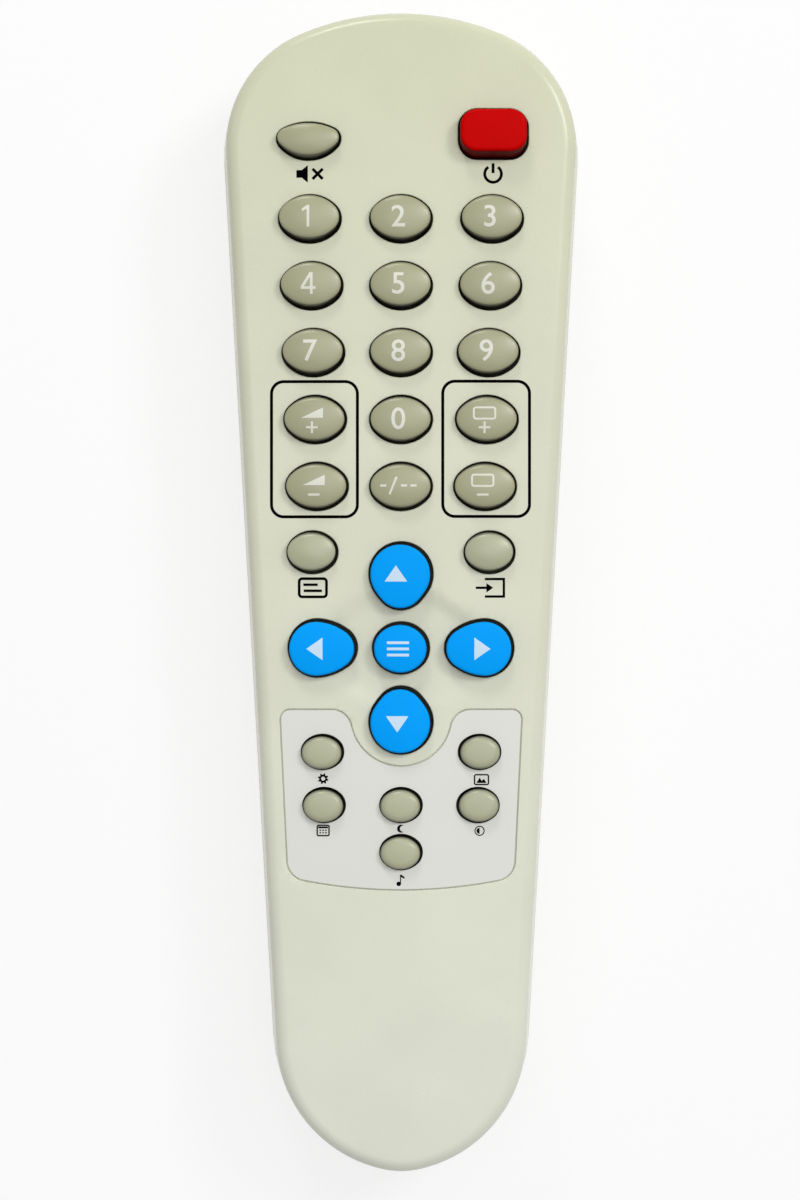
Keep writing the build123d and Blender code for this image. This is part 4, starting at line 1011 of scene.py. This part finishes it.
tinted_resin = shiny("tinted_resin", (58, 30, 62), 0.0, 0.08, 1.5, clear=0.35)
nickel = shiny("nickel", (206, 204, 198), 1.0, 0.28, 0.5)
tinned = shiny("tinned_wire", (198, 198, 200), 1.0, 0.35, 0.3, (1.0, 0.1, 1.0))
lamp_low, lamp_high = box_of("infrared_lamp")
length = lamp_high[1] - lamp_low[1]
turn = np.radians(np.linspace(0, 90, 9))
dome = np.column_stack([LAMP_RADIUS * np.cos(turn), length - LAMP_DOME + LAMP_DOME * np.sin(turn)])
profile = [(0.0, 0.0), (RIM_RADIUS - RIM_EDGE, 0.0), (RIM_RADIUS, RIM_EDGE),
           (RIM_RADIUS, RIM_LENGTH - RIM_EDGE), (RIM_RADIUS - RIM_EDGE, RIM_LENGTH),
           (LAMP_RADIUS, RIM_LENGTH), *dome]
resin_lamp = joined("resin_lamp", [turned(profile, (0.0, lamp_low[1], PART_Z))], tinted_resin)
even_shading(resin_lamp)
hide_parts("infrared_lamp")
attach(resin_lamp, "case")
dress(tinned, "lamp_leads")

# Cells
# Two AAA cells laid head to tail: a steel can wrapped in a plain printed film that is shrunk over its edges,
# and the nub of the positive end. Their profiles are pairs of radius and distance from the flat end.
CELL_RADIUS = 5.25
CELL_LENGTH = 44.5
BAND_LENGTH = 9.0
NUB_RADIUS = 1.9

wrap = shiny("cell_wrap", (44, 70, 104), 0.0, 0.25, 2.0, wear=0.2)
band = shiny("cell_band", (214, 214, 210), 0.0, 0.25, 2.0)
can_steel = shiny("can_steel", (190, 190, 188), 1.0, 0.25, 0.4)
shoulder = CELL_LENGTH - 0.8
wrapped = [(4.5, 0.22), (4.9, 0.1), (5.15, 0.25), (CELL_RADIUS, 0.6), (CELL_RADIUS, shoulder - BAND_LENGTH)]
banded = [(CELL_RADIUS, shoulder - BAND_LENGTH), (CELL_RADIUS, shoulder - 0.6), (5.15, shoulder - 0.2),
          (4.9, shoulder), (4.4, shoulder - 0.1)]
nub = [(4.4, shoulder - 0.1), (2.3, shoulder - 0.15), (NUB_RADIUS, shoulder + 0.1),
       (NUB_RADIUS, CELL_LENGTH - 0.25), (1.6, CELL_LENGTH), (0.0, CELL_LENGTH)]
flat_end = [(0.0, 0.3), (4.2, 0.3), (4.5, 0.22)]
for name, facing in (("left", 1), ("right", -1)):
    low, high = box_of("battery_" + name)
    start = low[1] if facing > 0 else high[1]
    place = ((low[0] + high[0]) / 2, start, (low[2] + high[2]) / 2)
    patches = []
    for part, look in ((flat_end, 2), (wrapped, 0), (banded, 1), (nub, 2)):
        points, faces, _ = turned(part, (0.0, 0.0, 0.0))
        patches.append((points * (facing, facing, 1.0) + place, faces, look))
    cell = joined("cell_" + name, patches, wrap, band, can_steel)
    even_shading(cell)
    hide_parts("battery_" + name)
    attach(cell, "case")

# Contacts and springs
# Contacts bent from nickel-plated strip at both ends of the bay, and a coil of round wire that presses on the
# flat end of each cell.
SPRING_RADIUS = 2.6
SPRING_PITCH = 1.3
SPRING_TURNS = 3
WIRE_RADIUS = 0.3


def coil(start, facing):
    """Grid of a wire wound about Y: circles square to the helix, drawn in to a point at both ends."""
    turn = np.linspace(0, 360 * SPRING_TURNS, 24 * SPRING_TURNS + 1)
    angle = np.radians(np.concatenate([turn[:1], turn, turn[-1:]]))[:, None]
    climb = SPRING_PITCH / (2 * np.pi)
    zero = 0 * angle
    outward = np.concatenate([np.sin(angle), zero, np.cos(angle)], axis=1)
    along = (SPRING_RADIUS * np.cos(angle), climb + zero, -SPRING_RADIUS * np.sin(angle))
    way = np.concatenate(along, axis=1)
    way /= np.linalg.norm(way, axis=1)[:, None]
    side = np.cross(outward, way)
    middle = SPRING_RADIUS * outward + np.concatenate([zero, climb * angle + WIRE_RADIUS, zero], axis=1)
    round_wire = np.radians(np.arange(10) * 36)[None, :, None]
    radius = np.full(len(angle), WIRE_RADIUS)
    radius[[0, -1]] = 0.0
    ring_points = outward[:, None] * np.cos(round_wire) + side[:, None] * np.sin(round_wire)
    points = middle[:, None] + radius[:, None, None] * ring_points
    return points * (facing, facing, 1.0) + np.array(start)


spring_low, spring_high = box_of("contact_springs")
cell_x, _, cell_z = np.mean(box_of("battery_right"), axis=0)
coils = [coil((-cell_x, spring_low[1], cell_z), 1), coil((cell_x, spring_high[1], cell_z), -1)]
springs = joined("wire_springs", [skin(points[:, ::-1]) for points in coils], nickel)
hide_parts("contact_springs")
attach(springs, "case")
dress(nickel, "end_contacts", "bridge_contact")

# Case screw
# A zinc-plated self-tapping screw up through the roof of the bay, with a cross recess in its rounded head.
# Its profiles are pairs of radius and distance from the face of the head.
SCREW_FACE = 1.45
SCREW_RADIUS = 2.0
SCREW_HEAD = 1.4
CORE = 0.85
CREST = 1.1
PITCH = 0.75
CROSS_DEPTH = 0.8
CROSS_TAPER = 0.8

zinc = shiny("zinc_plate", (196, 196, 190), 1.0, 0.3, 0.3)
screw_low, screw_high = box_of("case_screw")
screw_place = (*((screw_low + screw_high) / 2)[:2], screw_low[2])
length = screw_high[2] - screw_low[2]
turns = int((length - SCREW_HEAD - 0.6) / PITCH)
thread = [(radius, SCREW_HEAD + 0.2 + (step + share) * PITCH) for step in range(turns)
          for radius, share in ((CORE, 0.0), (CREST, 0.4), (CREST, 0.5), (CORE, 0.9))]
head = [(SCREW_FACE, 0.0), (1.75, 0.15), (SCREW_RADIUS, 0.7), (SCREW_RADIUS, SCREW_HEAD - 0.05),
        (1.95, SCREW_HEAD)]
shaft = [(1.95, SCREW_HEAD), (CORE, SCREW_HEAD), *thread, (CORE, length - 0.3), (0.4, length), (0.0, length)]
cross = plus(2.0, 0.42)[::-1]
sides = drawn_in(cross, ((CROSS_TAPER, CROSS_DEPTH), (1.0, 0.0)))
recess = [filled([circle(0.0, 0.0, SCREW_FACE), cross], 0.0, 2.0, -1),
          filled([cross * CROSS_TAPER], CROSS_DEPTH, 2.0, -1), skin(sides[:, ::-1])]
patches = [turned(head, screw_place, "Z"), turned(shaft, screw_place, "Z")]
patches += [(points + np.array(screw_place), faces, look) for points, faces, look in recess]
screw = joined("cross_screw", patches, zinc)
even_shading(screw)
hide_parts("case_screw")
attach(screw, "case")

# Board and mat
# A green lacquered board with faint copper tracks, printed black pads, a few small parts soldered to its
# underside, and the grey rubber mat over it. They show only through the openings of the case.
TRACK_SIZES = {"Scale": 1 / (20 * MM), "Mortar Size": 0.012, "Row Height": 0.09}
TRACK_COLOURS = {"Color1": linear(38, 92, 44), "Color2": linear(44, 104, 50), "Mortar": linear(70, 130, 66)}

lacquer = bpy.data.materials.new("board_lacquer")
add = node_maker(lacquer)
place = add("ShaderNodeTexCoord").outputs["Object"]
tracks = add("ShaderNodeTexBrick", {"Vector": place, **TRACK_SIZES, **TRACK_COLOURS})
sheen = ranged(add, speckle(add, place, 8, 4.0), 0.22, 0.45)
relief = add("ShaderNodeBump", {"Height": tracks.outputs["Fac"], "Strength": 0.7, "Distance": 0.02 * MM})
surface = add("ShaderNodeBsdfPrincipled", {
    "Base Color": tracks.outputs["Color"], "Roughness": sheen, "Normal": relief.outputs["Normal"]})
add("ShaderNodeOutputMaterial", {0: surface.outputs[0]})
dress(lacquer, "circuit_board")
dress(moulded("mat_rubber", (126, 127, 112), 0.7, grain=0.3, shine=0.2), "keypad_mat")
dress(moulded("carbon_pads", (26, 26, 27), grain=0.1, depth=0.002), "contact_pads")
dress(moulded("black_resin", (30, 30, 31), grain=0.15, depth=0.003), "controller_chip", "transistor",
      "capacitor", "resistors")
dress(shiny("blue_glaze", (40, 84, 150), 0.0, 0.2, 0.8), "resonator")
